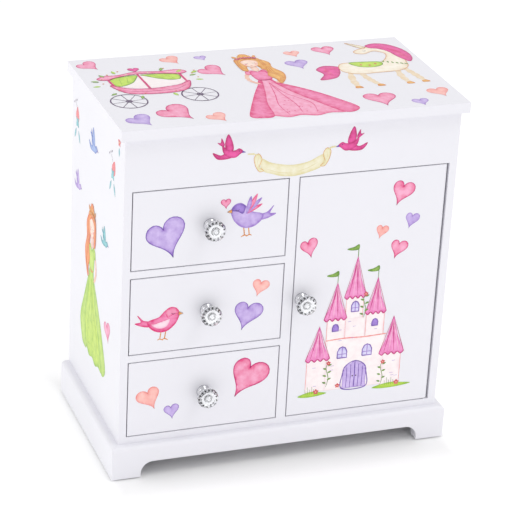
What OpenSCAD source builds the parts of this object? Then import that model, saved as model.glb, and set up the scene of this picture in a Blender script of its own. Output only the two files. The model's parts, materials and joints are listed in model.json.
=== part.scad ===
// Musical jewellery box: a small lacquered cabinet with a hinged lid, three drawers, a necklace
// cupboard, and a dancer that springs up in front of a mirror and turns with a wound movement.
// Units are millimetres. X runs to the right, Y to the back, Z up. The origin is on the surface that
// the box stands on, under the middle of its body.

/* [Body] */
// Width of the cabinet body
body_w = 240; // [230:1:260]
// Depth of the cabinet body
body_d = 131; // [128:1:140]
// Thickness of the two side panels
side_t = 5.5; // [5:0.5:7]
// Thickness of the upright between drawers and cupboard
divider_t = 7; // [6:0.5:9]
// Thickness of the back panel
back_t = 4; // [3:0.5:5]
// Thickness of the front apron, the door and the drawer fronts
front_t = 6; // [5.5:0.5:7]
// Height of the apron above the drawers
apron_h = 38.2; // [38:0.2:42]

/* [Plinth] */
// Height of the plinth
plinth_h = 25.6; // [24:0.2:30]
// How far the plinth stands proud of the body
plinth_proud = 5.8; // [4:0.2:7]
// Thickness of the plinth boards
plinth_t = 9.5; // [8.5:0.5:11]
// Radius of the plinth's upper edge
plinth_round = 3; // [1:0.5:4]
// Width of one bracket foot at the floor
foot_w = 21; // [16:1:28]
// Height of the cut-out between the feet
cutout_h = 11.5; // [8:0.5:14]

/* [Lid] */
// Thickness of the lid
lid_t = 7.5; // [7:0.5:10]
// Overhang of the lid at the sides
lid_side = 4; // [2:0.5:6]
// Overhang of the lid at the front
lid_front = 5; // [3:0.5:7]
// Radius of the lid's upper edge
lid_round = 2.4; // [1:0.2:3]

/* [Drawers and door] */
// Height of one drawer opening
opening_h = 58.4; // [54:0.2:62]
// Thickness of the shelves between the drawers
shelf_t = 5.2; // [4:0.2:7]
// Gap round the drawer fronts and the door
gap = 0.8; // [0.5:0.1:1.2]
// Depth of a drawer box behind its front
drawer_depth = 111; // [90:1:114]
// Height of a drawer box
drawer_h = 47; // [36:1:50]
// Thickness of the drawer's sides and back
drawer_t = 4; // [3:0.5:5]

/* [Knobs and key] */
// Diameter of a crystal knob
knob_d = 15; // [13:0.5:18]
// How far the knobs and the winding key stand out
handle_proud = 16.5; // [15:0.5:19]

/* [Dancer] */
// Tilt of the dancer under the closed lid, from upright
dancer_tilt = 65; // [60:1:66]
// Length from the spring's foot to the dancer's fingertips
dancer_len = 45; // [40:1:45]
// Radius of the tutu
tutu_r = 10.5; // [8:0.5:11]

/* [Hidden] */
$fn = 48;
eps = 0.01;
pad_t = 1;

// Colours
white = [0.94, 0.94, 0.95];
card = [0.80, 0.74, 0.66];
felt = [0.93, 0.60, 0.74];
steel = [0.78, 0.79, 0.80];
brass = [0.80, 0.66, 0.36];
crystal = [0.86, 0.92, 0.96];

// Levels, from the floor up
plinth_top = pad_t + plinth_h - pad_t;
board_t = 5.2;
opening_z = plinth_top + board_t;
shelf_pitch = opening_h + shelf_t;
tray_z = opening_z + 3 * opening_h + 2 * shelf_t;
rim_z = tray_z + apron_h;
top_z = rim_z + lid_t;
floor_t = 5;
stage_z = tray_z + floor_t;
lining_t = 0.8;

// Plan
half_w = body_w / 2;
inner_w = half_w - side_t;
front_y = -body_d / 2;
back_y = body_d / 2;
inner_back = back_y - back_t;
stile = divider_t / 2;
bay_w = inner_w - stile;
front_back_y = front_y + front_t;

// ---------------------------------------------------------------- shared shapes

// A box given by its lowest and highest corners.
module span(low, high) {
  translate(low) cube(high - low);
}

// What a router bit takes off the edge at z = 0, x = 0 of a board that fills x < 0, z < 0.
module edge_cutter(length, radius) {
  rotate([90, 0, 0])
    linear_extrude(length, center = true)
      difference() {
        translate([-radius, -radius]) square(radius + 1);
        translate([-radius, -radius]) circle(radius);
        translate([-radius - 1, -radius - 1]) square([radius + 1, radius + 1 - eps]);
        translate([-radius - 1, -radius - 1]) square([radius + 1 - eps, radius + 1]);
      }
}

// A cylinder along Y from y0 to y1.
module rod_y(radius, y0, y1) {
  translate([0, y1, 0]) rotate([90, 0, 0]) cylinder(r = radius, h = y1 - y0);
}

// Outline of a gear with straight-sided teeth, its first tooth centred on +X.
module gear_outline(teeth, pitch_r, addendum, dedendum, share) {
  step = 360 / teeth;
  root = step * share * 0.72;
  tip = step * share * 0.30;
  polygon([
    for (i = [0 : teeth - 1], c = [[-root, -1], [-tip, 1], [tip, 1], [root, -1]])
      let (a = i * step + c[0], r = pitch_r + (c[1] > 0 ? addendum : -dedendum))
        [r * cos(a), r * sin(a)]
  ]);
}

// A slotted pan-head screw along Y: its head's outer face is at y = 0 and its shank runs to +Y.
module screw_y(head_r, head_t, shank_r, length) {
  difference() {
    union() {
      rod_y(head_r, 0, head_t);
      rod_y(shank_r, head_t, length);
    }
    span([-head_r - 1, -1, -0.35], [head_r + 1, head_t * 0.4, 0.35]);
  }
}

// ---------------------------------------------------------------- cabinet body

module side_panel(side) {
  color(white)
    translate([side * (half_w - side_t / 2), 0, 0])
      span([-side_t / 2, front_y, plinth_top], [side_t / 2, back_y, rim_z]);
}

module back_panel() {
  color(white) difference() {
    span([-inner_w, inner_back, plinth_top], [inner_w, back_y, rim_z]);
    translate([spindle_x, 0, arbor_z]) rod_y(key_hole_r, inner_back - 1, back_y + 1);
  }
}

module bottom_board() {
  color(white) difference() {
    span([-inner_w, front_y, plinth_top], [inner_w, inner_back, opening_z]);
    translate([pivot_x, pivot_y, opening_z - bush_depth]) cylinder(r = bush_r, h = bush_depth + 1);
  }
}

module centre_divider() {
  color(white) span([-stile, front_y, opening_z], [stile, inner_back, tray_z]);
}

module drawer_shelves() {
  color(white)
    for (i = [1, 2])
      span([-inner_w, front_y, opening_z + i * shelf_pitch - shelf_t],
           [-stile, inner_back, opening_z + i * shelf_pitch]);
}

module tray_floor() {
  color(white) difference() {
    span([-inner_w, front_back_y, tray_z], [inner_w, inner_back, stage_z]);
    translate([spindle_x, spindle_y, tray_z - 1]) cylinder(r = bearing_r, h = floor_t + 2);
    translate([stop_x, stop_y, tray_z - 1]) cylinder(r = stop_r + 0.25, h = floor_t + 2);
    for (x = hook_x) translate([x, hook_y, tray_z - 1]) cylinder(r = 1, h = 4.5);
    movement_screw_places() cylinder(r = movement_screw_r, h = plate_t + 3);
  }
}

module front_apron() {
  color(white) difference() {
    span([-inner_w, front_y, tray_z], [inner_w, front_back_y, rim_z]);
    translate([pivot_x, pivot_y, tray_z - 1]) cylinder(r = bush_r, h = bush_depth + 1);
  }
}

// ---------------------------------------------------------------- plinth

plinth_x = half_w + plinth_proud;
plinth_y = front_y - plinth_proud;

// The outline of the board seen from the end: outer face at x = 0, rounded at the top.
module plinth_profile() {
  difference() {
    translate([-plinth_t, pad_t]) square([plinth_t, plinth_top - pad_t]);
    difference() {
      translate([-plinth_round, plinth_top - plinth_round]) square(plinth_round + 1);
      translate([-plinth_round, plinth_top - plinth_round]) circle(plinth_round);
    }
  }
}

// The cut-out between two bracket feet, drawn in X and Z with rounded upper corners.
module foot_cutout() {
  half = plinth_x - foot_w;
  top = pad_t + cutout_h;
  round = 9;
  translate([-half, -1]) square([2 * half, top - round + 1]);
  translate([-half + round, -1]) square([2 * (half - round), top + 1]);
  for (side = [-1, 1]) translate([side * (half - round), top - round]) circle(round);
}

module plinth_front() {
  color(white) intersection() {
    difference() {
      translate([0, plinth_y, 0])
        rotate([90, 0, -90]) linear_extrude(2 * plinth_x, center = true) plinth_profile();
      translate([0, plinth_y + plinth_t + 1, 0])
        rotate([90, 0, 0]) linear_extrude(plinth_t + 2) foot_cutout();
    }
    mitre_front();
  }
}

// The space in front of the two mitres, a trapezium in plan.
module mitre_front() {
  linear_extrude(plinth_top + 1)
    polygon([
      [-plinth_x, plinth_y], [plinth_x, plinth_y],
      [plinth_x - plinth_t, plinth_y + plinth_t], [-plinth_x + plinth_t, plinth_y + plinth_t]
    ]);
}

module plinth_sides() {
  color(white)
    for (side = [0, 1])
      mirror([side, 0, 0]) difference() {
        translate([plinth_x, 0, 0])
          rotate([90, 0, 0])
            translate([0, 0, -back_y])
              linear_extrude(back_y - plinth_y) plinth_profile();
        mitre_front();
      }
}

module plinth_back() {
  inner = plinth_x - plinth_t;
  color(white) difference() {
    span([-inner, back_y - plinth_t, pad_t], [inner, back_y, plinth_top]);
    translate([0, back_y + 1, 0])
      rotate([90, 0, 0]) linear_extrude(plinth_t + 2) foot_cutout();
  }
}

module foot_pads() {
  x = plinth_x - plinth_t / 2 - 1;
  color([0.85, 0.85, 0.86])
    for (sx = [-1, 1], y = [plinth_y + plinth_t / 2 + 1, back_y - plinth_t / 2 - 1])
      translate([sx * x, y, 0]) cylinder(r = 4, h = pad_t);
}

// ---------------------------------------------------------------- tray under the lid

tray_wall_t = 3;
tray_wall_h = 22;
ring_wall_x = -52;
stage_wall_x = 5;
ring_wall_y = -2;
stage_wall_y = -29;

module tray_insert() {
  top = stage_z + lining_t;
  wall_top = stage_z + tray_wall_h;
  color(felt) {
    difference() {
      span([-inner_w, front_back_y, stage_z], [inner_w, inner_back, top]);
      translate([spindle_x, spindle_y, stage_z - 1]) cylinder(r = collar_r + 0.6, h = lining_t + 2);
      translate([stop_x, stop_y, stage_z - 1]) cylinder(r = stop_r + 0.6, h = lining_t + 2);
    }
    for (x = [ring_wall_x, stage_wall_x])
      span([x, front_back_y, top], [x + tray_wall_t, inner_back, wall_top]);
    span([-inner_w, ring_wall_y, top], [ring_wall_x, ring_wall_y + tray_wall_t, wall_top]);
    span([stage_wall_x + tray_wall_t, stage_wall_y, top],
         [inner_w, stage_wall_y + tray_wall_t, wall_top]);
  }
}

roll_count = 5;

module ring_rolls() {
  low_y = ring_wall_y + tray_wall_t + 0.4;
  pitch = (inner_back - 0.4 - low_y) / roll_count;
  roll_r = pitch / 2;
  color(felt)
    translate([-inner_w + 0.5, low_y, stage_z + lining_t])
      rotate([90, 0, 90])
        linear_extrude(ring_wall_x + inner_w - 1)
          for (i = [0 : roll_count - 1])
            translate([(i + 0.5) * pitch, 0]) {
              translate([0, 7]) circle(roll_r - 0.15);
              translate([-pitch / 2, 0]) square([pitch, 7]);
            }
}

// ---------------------------------------------------------------- necklace cupboard

hook_y = -14;
hook_x = [for (i = [0 : 4]) 21 + i * 19];
cover_w = 88;
cover_x = 6;
cover_y = 0.5;
cover_h = 33;
cover_t = 2;

module cupboard_lining() {
  t = lining_t;
  x0 = stile;
  x1 = inner_w;
  y0 = front_back_y + 6;
  y1 = inner_back;
  z0 = opening_z;
  z1 = tray_z - cover_h - 1;
  color(felt) {
    span([x0, y0, z0], [x0 + t, y1, z1]);
    span([x1 - t, y0, z0], [x1, y1, z1]);
    span([x0 + t, y1 - t, z0], [x1 - t, y1, z1]);
    span([x0 + t, y0, z0], [x1 - t, y1 - t, z0 + t]);
  }
}

// One cup hook: a screwed shank, a round flange and a J of wire.
module cup_hook() {
  wire = 0.9;
  bend = 3.6;
  drop = 6;
  translate([0, 0, -drop]) cylinder(r = wire, h = drop + 3.4, $fn = 24);
  translate([0, 0, -1.2]) cylinder(r = 3.2, h = 1.2);
  translate([0, -bend, -drop])
    rotate([90, 0, 90])
      rotate([0, 0, 180])
        rotate_extrude(angle = 180, $fn = 32) translate([bend, 0]) circle(wire, $fn = 16);
  translate([0, -2 * bend, -drop]) sphere(wire * 1.5, $fn = 24);
}

module necklace_hooks() {
  color(brass)
    for (x = hook_x) translate([x, hook_y, tray_z]) cup_hook();
}

// ---------------------------------------------------------------- door

pivot_r = 1.5;
bush_r = 2.3;
bush_depth = 3.8;
pivot_y = front_y + front_t / 2;
pivot_x = inner_w - gap - front_t / 2;
door_low = opening_z + gap;
door_high = tray_z - gap;
door_left = stile + gap;
pin_in_door = 10;
knob_inset = 6;
door_knob_x = door_left + knob_inset;
door_knob_z = (opening_z + tray_z) / 2;
magnet_z = door_knob_z + 30;

module door_panel() {
  color(white) difference() {
    union() {
      span([door_left, front_y, door_low], [pivot_x, front_back_y, door_high]);
      translate([pivot_x, pivot_y, door_low]) cylinder(r = front_t / 2, h = door_high - door_low);
    }
    for (z = [door_low - 1, door_high - pin_in_door])
      translate([pivot_x, pivot_y, z]) cylinder(r = pivot_r, h = pin_in_door + 1);
    translate([door_knob_x, 0, door_knob_z]) rod_y(knob_hole_r, front_y - 1, front_back_y + 1);
  }
}

module door_pivot_pins() {
  reach = gap + bush_depth - 0.4;
  color(steel)
    for (z = [door_low - reach, door_high - pin_in_door])
      translate([pivot_x, pivot_y, z]) cylinder(r = pivot_r, h = pin_in_door + reach);
}

module door_pivot_bushes() {
  color([0.9, 0.9, 0.88])
    for (z = [opening_z - bush_depth, tray_z])
      translate([pivot_x, pivot_y, z]) difference() {
        cylinder(r = bush_r, h = bush_depth);
        translate([0, 0, -1]) cylinder(r = pivot_r + 0.06, h = bush_depth + 2);
      }
}

module door_magnet() {
  color([0.25, 0.25, 0.27])
    span([stile, front_back_y + 1, magnet_z - 8], [stile + 9, front_back_y + 6, magnet_z + 8]);
}

module door_strike_plate() {
  color(steel)
    span([door_left + 0.5, front_back_y, magnet_z - 6], [door_left + 8, front_back_y + 0.8, magnet_z + 6]);
}

// ---------------------------------------------------------------- knobs

screw_r = 2;
knob_hole_r = 2.3;
knob_neck_r = 3.6;

// A knob on the plane y = 0, standing out towards -Y: a metal ferrule and a cut crystal head.
module knob() {
  head_r = knob_d / 2;
  color(crystal) difference() {
    rotate([90, 0, 0])
      rotate_extrude()
        polygon([
          [0, 0], [knob_neck_r + 1.2, 0], [knob_neck_r + 1.2, 1.2], [knob_neck_r, 2.2],
          [knob_neck_r, 4.4], [head_r * 0.84, 6.6], [head_r, 10], [head_r, 11.4],
          [head_r * 0.78, handle_proud - 1.4], [head_r * 0.5, handle_proud], [0, handle_proud]
        ]);
    rod_y(screw_r, -10, 1);
  }
}

module knob_screw() {
  color(steel)
    translate([0, front_t + 2, 0]) mirror([0, 1, 0]) screw_y(3.6, 2, screw_r, front_t + 11);
}

module at_door_knob() {
  translate([door_knob_x, front_y, door_knob_z]) children();
}

// ---------------------------------------------------------------- drawers

drawer_left = -inner_w + gap;
drawer_right = -stile - gap;
drawer_mid = (drawer_left + drawer_right) / 2;

function drawer_z(level) = opening_z + level * shelf_pitch;

module drawer_front(level) {
  z = drawer_z(level);
  color(white) difference() {
    span([drawer_left, front_y, z + gap], [drawer_right, front_back_y, z + opening_h - gap]);
    translate([drawer_mid, 0, z + opening_h / 2]) rod_y(knob_hole_r, front_y - 1, front_back_y + 1);
  }
}

// Two sides, a back and a bottom board, glued up.
module drawer_box(level) {
  z = drawer_z(level) + 0.3;
  bottom_t = 3;
  y1 = front_back_y + drawer_depth;
  x0 = drawer_left;
  x1 = drawer_right;
  color(card) {
    span([x0, front_back_y, z], [x0 + drawer_t, y1, z + drawer_h]);
    span([x1 - drawer_t, front_back_y, z], [x1, y1, z + drawer_h]);
    span([x0 + drawer_t, y1 - drawer_t, z], [x1 - drawer_t, y1, z + drawer_h]);
    span([x0 + drawer_t, front_back_y, z], [x1 - drawer_t, y1 - drawer_t, z + bottom_t]);
  }
}

// The flocked liner: a thin open tray that fits inside the box, notched for the knob screw's head.
module drawer_lining(level) {
  z = drawer_z(level) + 3.3;
  t = lining_t;
  low = [drawer_left + drawer_t, front_back_y, z];
  high = [drawer_right - drawer_t, front_back_y + drawer_depth - drawer_t, drawer_z(level) + drawer_h - 0.7];
  color(felt) difference() {
    span(low, high);
    span([low.x + t, low.y + t, low.z + t], [high.x - t, high.y - t, high.z + 1]);
    translate([drawer_mid, 0, drawer_z(level) + opening_h / 2]) rod_y(4, low.y - 1, low.y + t + 1);
  }
}

module at_drawer_knob(level) {
  translate([drawer_mid, front_y, drawer_z(level) + opening_h / 2]) children();
}

// ---------------------------------------------------------------- lid and its hinges

hinge_y = back_y + 2.2;
hinge_z = rim_z;
hinge_x = 72;
leaf_w = 22;
leaf_h = 13;
leaf_t = 0.9;
knuckle_r = 1.9;
hinge_pin_r = 0.9;
stop_angle = 89.5;
mirror_w = 176;
mirror_d = 84;
mirror_t = 2;
frame_w = 206;
frame_d = 108;
frame_t = 2.5;
frame_mid = 2;

module lid_panel() {
  x = half_w + lid_side;
  y0 = front_y - lid_front;
  color(white) difference() {
    span([-x, y0, rim_z], [x, back_y, top_z]);
    for (side = [0, 1])
      mirror([side, 0, 0])
        translate([x, (y0 + back_y) / 2, top_z]) edge_cutter(body_d + lid_front + 4, lid_round);
    translate([0, y0, top_z]) rotate([0, 0, -90]) edge_cutter(2 * x + 4, lid_round);
  }
}

module mirror_frame() {
  color(felt) difference() {
    translate([0, frame_mid, rim_z - frame_t / 2]) cube([frame_w, frame_d, frame_t], center = true);
    translate([0, frame_mid, rim_z - frame_t / 2]) cube([mirror_w, mirror_d, frame_t + 1], center = true);
  }
}

module lid_mirror() {
  color([0.8, 0.85, 0.9])
    translate([0, frame_mid, rim_z - mirror_t / 2]) cube([mirror_w, mirror_d, mirror_t], center = true);
}

// Knuckles along X between the given shares of the leaf's width, bored for the pin.
module knuckle(from, to) {
  translate([(from - 0.5) * leaf_w, hinge_y, hinge_z])
    rotate([0, 90, 0]) difference() {
      cylinder(r = knuckle_r, h = (to - from) * leaf_w);
      translate([0, 0, -1]) cylinder(r = hinge_pin_r + 0.05, h = leaf_w + 2);
    }
}

// The tab that meets the lower leaf when the lid is fully open.
module hinge_stop(at) {
  translate([(at - 0.5) * leaf_w, hinge_y, hinge_z])
    rotate([stop_angle - 90, 0, 0]) span([-1.6, knuckle_r - 0.3, -0.8], [1.6, knuckle_r + 1.3, 0]);
}

// One leaf, lying flat against the back from the hinge line up (dir 1) or down (dir -1).
module hinge_leaf(dir) {
  low = dir > 0 ? hinge_z + 0.3 : hinge_z - leaf_h;
  high = dir > 0 ? hinge_z + 6.4 : hinge_z - 0.3;
  fifth = 0.2;
  difference() {
    union() {
      span([-leaf_w / 2, back_y, low], [leaf_w / 2, back_y + leaf_t, high]);
      for (i = dir > 0 ? [1, 3] : [0, 2, 4]) {
        if (dir > 0) hinge_stop((i + 0.5) * fifth);
        knuckle(i * fifth + 0.01, (i + 1) * fifth - 0.01);
        span([(i * fifth + 0.01 - 0.5) * leaf_w, back_y, dir > 0 ? hinge_z + 0.3 : hinge_z - 1.8],
             [((i + 1) * fifth - 0.01 - 0.5) * leaf_w, hinge_y - 1, dir > 0 ? hinge_z + 1.8 : hinge_z - 0.3]);
      }
    }
    for (i = dir > 0 ? [0, 2, 4] : [1, 3])
      translate([(i * fifth - 0.5) * leaf_w - 0.2, hinge_y, hinge_z])
        rotate([0, 90, 0]) cylinder(r = knuckle_r + 0.3, h = fifth * leaf_w + 0.4);
    translate([-leaf_w, hinge_y, hinge_z])
      rotate([0, 90, 0]) cylinder(r = hinge_pin_r + 0.05, h = 2 * leaf_w);
  }
  for (x = [-7, 7])
    translate([x, back_y + leaf_t, dir > 0 ? hinge_z + 4.2 : hinge_z - 8])
      rotate([-90, 0, 0]) cylinder(r = 1.6, h = 0.5);
}

module lid_hinge_leaves(dir) {
  color(steel)
    for (x = [-hinge_x, hinge_x]) translate([x, 0, 0]) hinge_leaf(dir);
}

module lid_hinge_pins() {
  color(steel)
    for (x = [-hinge_x, hinge_x])
      translate([x - leaf_w / 2 - 0.4, hinge_y, hinge_z])
        rotate([0, 90, 0]) cylinder(r = hinge_pin_r, h = leaf_w + 0.8);
}

// ---------------------------------------------------------------- music movement

spindle_x = 54;
spindle_y = 18;
arbor_z = tray_z - 16;
arbor_r = 2;
key_hole_r = 3.4;
running = 0.06;
bearing_r = 3.4;
spindle_r = 1.5;
collar_r = 2.4;
cylinder_r = 6.4;
crown_teeth = 30;
crown_r = 10;
crown_rim_r = crown_r + 1.3;
pinion_teeth = 24;
pinion_r = crown_r * pinion_teeth / crown_teeth;
mesh_y = spindle_y + pinion_r;
wheel_y = mesh_y + 2;
drum_low = arbor_z - crown_r + 2;
drum_high = drum_low + 19.5;
drive_teeth = 36;
drive_r = 9;
drive_t = 1.2;
delta_teeth = 12;
delta_r = drive_r * delta_teeth / drive_teeth;
delta_x = spindle_x - drive_r - delta_r;
fine_addendum = 0.6;
fine_dedendum = 0.75;
tooth_share = 0.26;
worm_wheel_teeth = 20;
worm_wheel_r = 4.2;
worm_r = 1.5;
worm_x = delta_x - worm_wheel_r - worm_r;
worm_z = drum_high - 6;
pivot_wire_r = 0.7;
plate_y = mesh_y + 4.6;
plate_t = 2;
plate_low = tray_z - 31;
yoke_y = spindle_y - 14;
yoke_z = worm_z - 7;
yoke_t = 1.6;
comb_x = spindle_x + 18;
comb_end = spindle_x + 30;
comb_screw_z = [drum_low + 4, drum_high - 5];
brake_r = 3;
movement_screw_r = 1.4;
brake_y = plate_y - 5.6;
stop_r = 1;
stop_x = 12;
stop_y = 40;

module movement_screw_places() {
  for (x = [spindle_x - 16, spindle_x + 30])
    translate([x, plate_y + plate_t + 5, tray_z - plate_t]) children();
}

module movement_cover() {
  color(white) difference() {
    span([cover_x, cover_y, tray_z - cover_h], [cover_x + cover_w, inner_back, tray_z]);
    span([cover_x + cover_t, cover_y + cover_t, tray_z - cover_h + cover_t],
         [cover_x + cover_w - cover_t, inner_back + 1, tray_z + 1]);
  }
}

// The frame of the movement: a plate with a flange that is screwed up under the tray floor, a foot
// for the cylinder, a block for the comb and a yoke for the governor.
module bedplate() {
  left = spindle_x - 22;
  right = spindle_x + 36;
  front = plate_y + eps;
  color(brass) difference() {
    union() {
      span([left, plate_y, plate_low], [right, plate_y + plate_t, tray_z]);
      span([left, plate_y, tray_z - plate_t], [right, plate_y + 10, tray_z]);
      span([spindle_x - 3, spindle_y - 3, plate_low], [spindle_x + 3, front, drum_low - 3.5]);
      span([comb_x, spindle_y + 0.6, drum_low], [comb_end, front, drum_high - 1]);
      span([worm_x - 3, yoke_y, yoke_z], [worm_x + 3, front, yoke_z + yoke_t]);
      span([worm_x, yoke_y, yoke_z], [delta_x + 2.6, spindle_y + 3, yoke_z + yoke_t]);
      span([worm_x - 3, yoke_y, yoke_z], [worm_x + 3, yoke_y + yoke_t, worm_z + 2]);
      span([delta_x - 2.4, spindle_y - 2.4, tray_z - 2.8], [delta_x + 2.4, front, tray_z - 1.2]);
    }
    translate([spindle_x, 0, arbor_z]) rod_y(arbor_r + running, plate_y - 1, plate_y + plate_t + 1);
    translate([worm_x, 0, worm_z]) {
      rod_y(pivot_wire_r + running, yoke_y - 1, yoke_y + yoke_t + 1);
      rod_y(pivot_wire_r + running, plate_y - 1, plate_y + plate_t + 1);
    }
    translate([delta_x, spindle_y, yoke_z - 1])
      cylinder(r = pivot_wire_r + running, h = tray_z - yoke_z + 2);
    translate([spindle_x, spindle_y, plate_low - 1]) cylinder(r = 1 + running, h = drum_low - plate_low);
    movement_screw_places() translate([0, 0, -1]) cylinder(r = movement_screw_r, h = plate_t + 2);
    for (z = comb_screw_z) translate([spindle_x + 24, 0, z]) rod_y(1, spindle_y, spindle_y + 6);
  }
}

// The sounding comb: a heel plate and 18 teeth that reach for the cylinder's pins.
module comb() {
  teeth = 18;
  pitch = (drum_high - drum_low - 1) / teeth;
  heel_x = comb_x + 1;
  tip_x = spindle_x + cylinder_r + 0.75;
  color(steel) difference() {
    union() {
      span([heel_x, spindle_y - 0.6, drum_low], [comb_end, spindle_y + 0.6, drum_high - 1]);
      for (i = [0 : teeth - 1])
        span([tip_x, spindle_y - 0.3, drum_low + (i + 0.2) * pitch],
             [heel_x + eps, spindle_y + 0.3, drum_low + (i + 0.8) * pitch]);
    }
    for (z = comb_screw_z) translate([spindle_x + 24, 0, z]) rod_y(1, spindle_y - 2, spindle_y + 2);
  }
}

module movement_screws() {
  color(steel) {
    for (z = comb_screw_z)
      translate([spindle_x + 24, spindle_y - 1.8, z]) screw_y(2, 1.2, 1, 7);
    movement_screw_places()
      translate([0, 0, -1.2]) rotate([90, 0, 0]) screw_y(2.6, 1.2, movement_screw_r, 6);
  }
}

// The fixed drum that holds the mainspring round the arbor.
module spring_barrel() {
  color(steel)
    translate([spindle_x, 0, arbor_z]) difference() {
      rod_y(12, plate_y + plate_t, plate_y + plate_t + 12);
      rod_y(arbor_r + running, plate_y, inner_back);
    }
}

module spindle_bush() {
  color(brass)
    translate([spindle_x, spindle_y, tray_z]) difference() {
      cylinder(r = bearing_r, h = floor_t);
      translate([0, 0, -1]) cylinder(r = spindle_r + running, h = floor_t + 2);
    }
}

// The key and its arbor in one line: a flat bow with two eyes behind the box, the arbor inside it.
module winding_key() {
  wing_y = back_y + handle_proud - 10;
  color(steel)
    translate([spindle_x, 0, arbor_z]) {
      rod_y(arbor_r, wheel_y - 0.6, back_y + 6);
      rod_y(3, back_y + 2, wing_y + 2);
      translate([0, wing_y, 0])
        linear_extrude(1.8, center = true) difference() {
          union() {
            for (s = [-1, 1]) translate([s * 7, 5]) circle(5);
            translate([-7, 0]) square([14, 6]);
          }
          for (s = [-1, 1]) translate([s * 7.4, 5]) circle(2.4);
        }
    }
}

// Contrate wheel, driven by the arbor through its ratchet: the teeth stand on the front face.
module great_wheel() {
  tooth = 0.6;
  color(brass)
    translate([spindle_x, 0, arbor_z]) difference() {
      union() {
        rod_y(crown_rim_r, wheel_y, wheel_y + 2);
        for (i = [0 : crown_teeth - 1])
          rotate([0, i * 360 / crown_teeth, 0])
            span([-tooth / 2, mesh_y - 0.7, crown_r - 1.2], [tooth / 2, wheel_y + eps, crown_r + 1.2]);
      }
      rod_y(arbor_r + running, mesh_y, mesh_y + 6);
    }
}

// The cylinder with its pins. The tune is a made-up pattern that steps round by a golden angle.
module pinned_cylinder() {
  rows = 18;
  pins_in_row = 3;
  pitch = (drum_high - drum_low - 1) / rows;
  color(brass)
    translate([spindle_x, spindle_y, 0]) difference() {
      union() {
        translate([0, 0, drum_low]) cylinder(r = cylinder_r, h = drum_high - drum_low);
        for (i = [0 : rows - 1], j = [0 : pins_in_row - 1])
          rotate([0, 0, 20 + i * 137.5 + j * 101])
            translate([cylinder_r - 0.4, 0, drum_low + (i + 0.5) * pitch])
              rotate([0, 90, 0]) cylinder(r = 0.2, h = 0.9, $fn = 16);
      }
      translate([0, 0, drum_low - 1]) cylinder(r = spindle_r, h = 22);
    }
}

// The shaft through the cylinder, with the pinion below it, the drive gear above it and the collar
// that carries the dancer's spring.
module dancer_spindle() {
  half_step = 180 / pinion_teeth;
  shaft_low = drum_low - 3.2;
  color(steel)
    translate([spindle_x, spindle_y, 0]) {
      translate([0, 0, plate_low + 0.5]) cylinder(r = 1, h = shaft_low - plate_low);
      translate([0, 0, shaft_low]) cylinder(r = spindle_r, h = stage_z + 1 - shaft_low);
      translate([0, 0, shaft_low])
        rotate([0, 0, 90 + half_step])
          linear_extrude(2.8) gear_outline(pinion_teeth, pinion_r, 0.65, 0.9, tooth_share);
      translate([0, 0, drum_high + 0.2])
        rotate([0, 0, 180])
          linear_extrude(drive_t)
            gear_outline(drive_teeth, drive_r, fine_addendum, fine_dedendum, tooth_share);
      translate([0, 0, stage_z + 0.2]) cylinder(r = collar_r, h = 2);
    }
}

module governor_wheel() {
  color(brass)
    translate([delta_x, spindle_y, 0]) {
      translate([0, 0, drum_high + 0.4])
        rotate([0, 0, 180 / delta_teeth])
          linear_extrude(drive_t - 0.2)
            gear_outline(delta_teeth, delta_r, fine_addendum, fine_dedendum, tooth_share);
      translate([0, 0, yoke_z + 0.4]) cylinder(r = pivot_wire_r, h = tray_z - 1.6 - yoke_z);
      translate([0, 0, worm_z - 0.7])
        rotate([0, 0, 180])
          linear_extrude(1.4) gear_outline(worm_wheel_teeth, worm_wheel_r, 0.35, 0.5, 0.24);
    }
}

// Points of one ring of the worm's thread, a ridge wound round Z with a right-hand lead.
worm_lead = 2 * PI * worm_wheel_r / worm_wheel_teeth;
worm_steps = 16;
worm_turns = 5;
thread_core = worm_r - 0.45;
thread_rings = [
  for (i = [0 : worm_steps * worm_turns])
    let (a = 360 * i / worm_steps, y = worm_lead * (i / worm_steps - worm_turns / 2 - 0.25))
      [for (c = [[thread_core, -0.32], [worm_r + 0.1, -0.14], [worm_r + 0.1, 0.14], [thread_core, 0.32]])
        [c[0] * sin(a), y + c[1], c[0] * cos(a)]]
];

module swept(rings) {
  sides = len(rings[0]);
  last = len(rings) - 1;
  polyhedron(
    points = [for (ring = rings, p = ring) p],
    faces = concat(
      [[for (k = [sides - 1 : -1 : 0]) k]],
      [for (i = [0 : last - 1], k = [0 : sides - 1])
        let (a = i * sides + k, b = i * sides + (k + 1) % sides) [a, b, b + sides, a + sides]],
      [[for (k = [0 : sides - 1]) last * sides + k]]
    )
  );
}

module governor_fly() {
  fan_y = yoke_y + 6.5;
  color(steel)
    translate([worm_x, 0, worm_z]) {
      rod_y(pivot_wire_r, yoke_y + 0.2, plate_y + plate_t - 0.4);
      rod_y(thread_core + 0.05, spindle_y - 3.6, spindle_y + 3.6);
      translate([0, spindle_y, 0]) swept(thread_rings);
      rod_y(brake_r, brake_y - 1, brake_y + 1);
      span([-4, fan_y - 3, -0.25], [4, fan_y + 3, 0.25]);
    }
}

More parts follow.
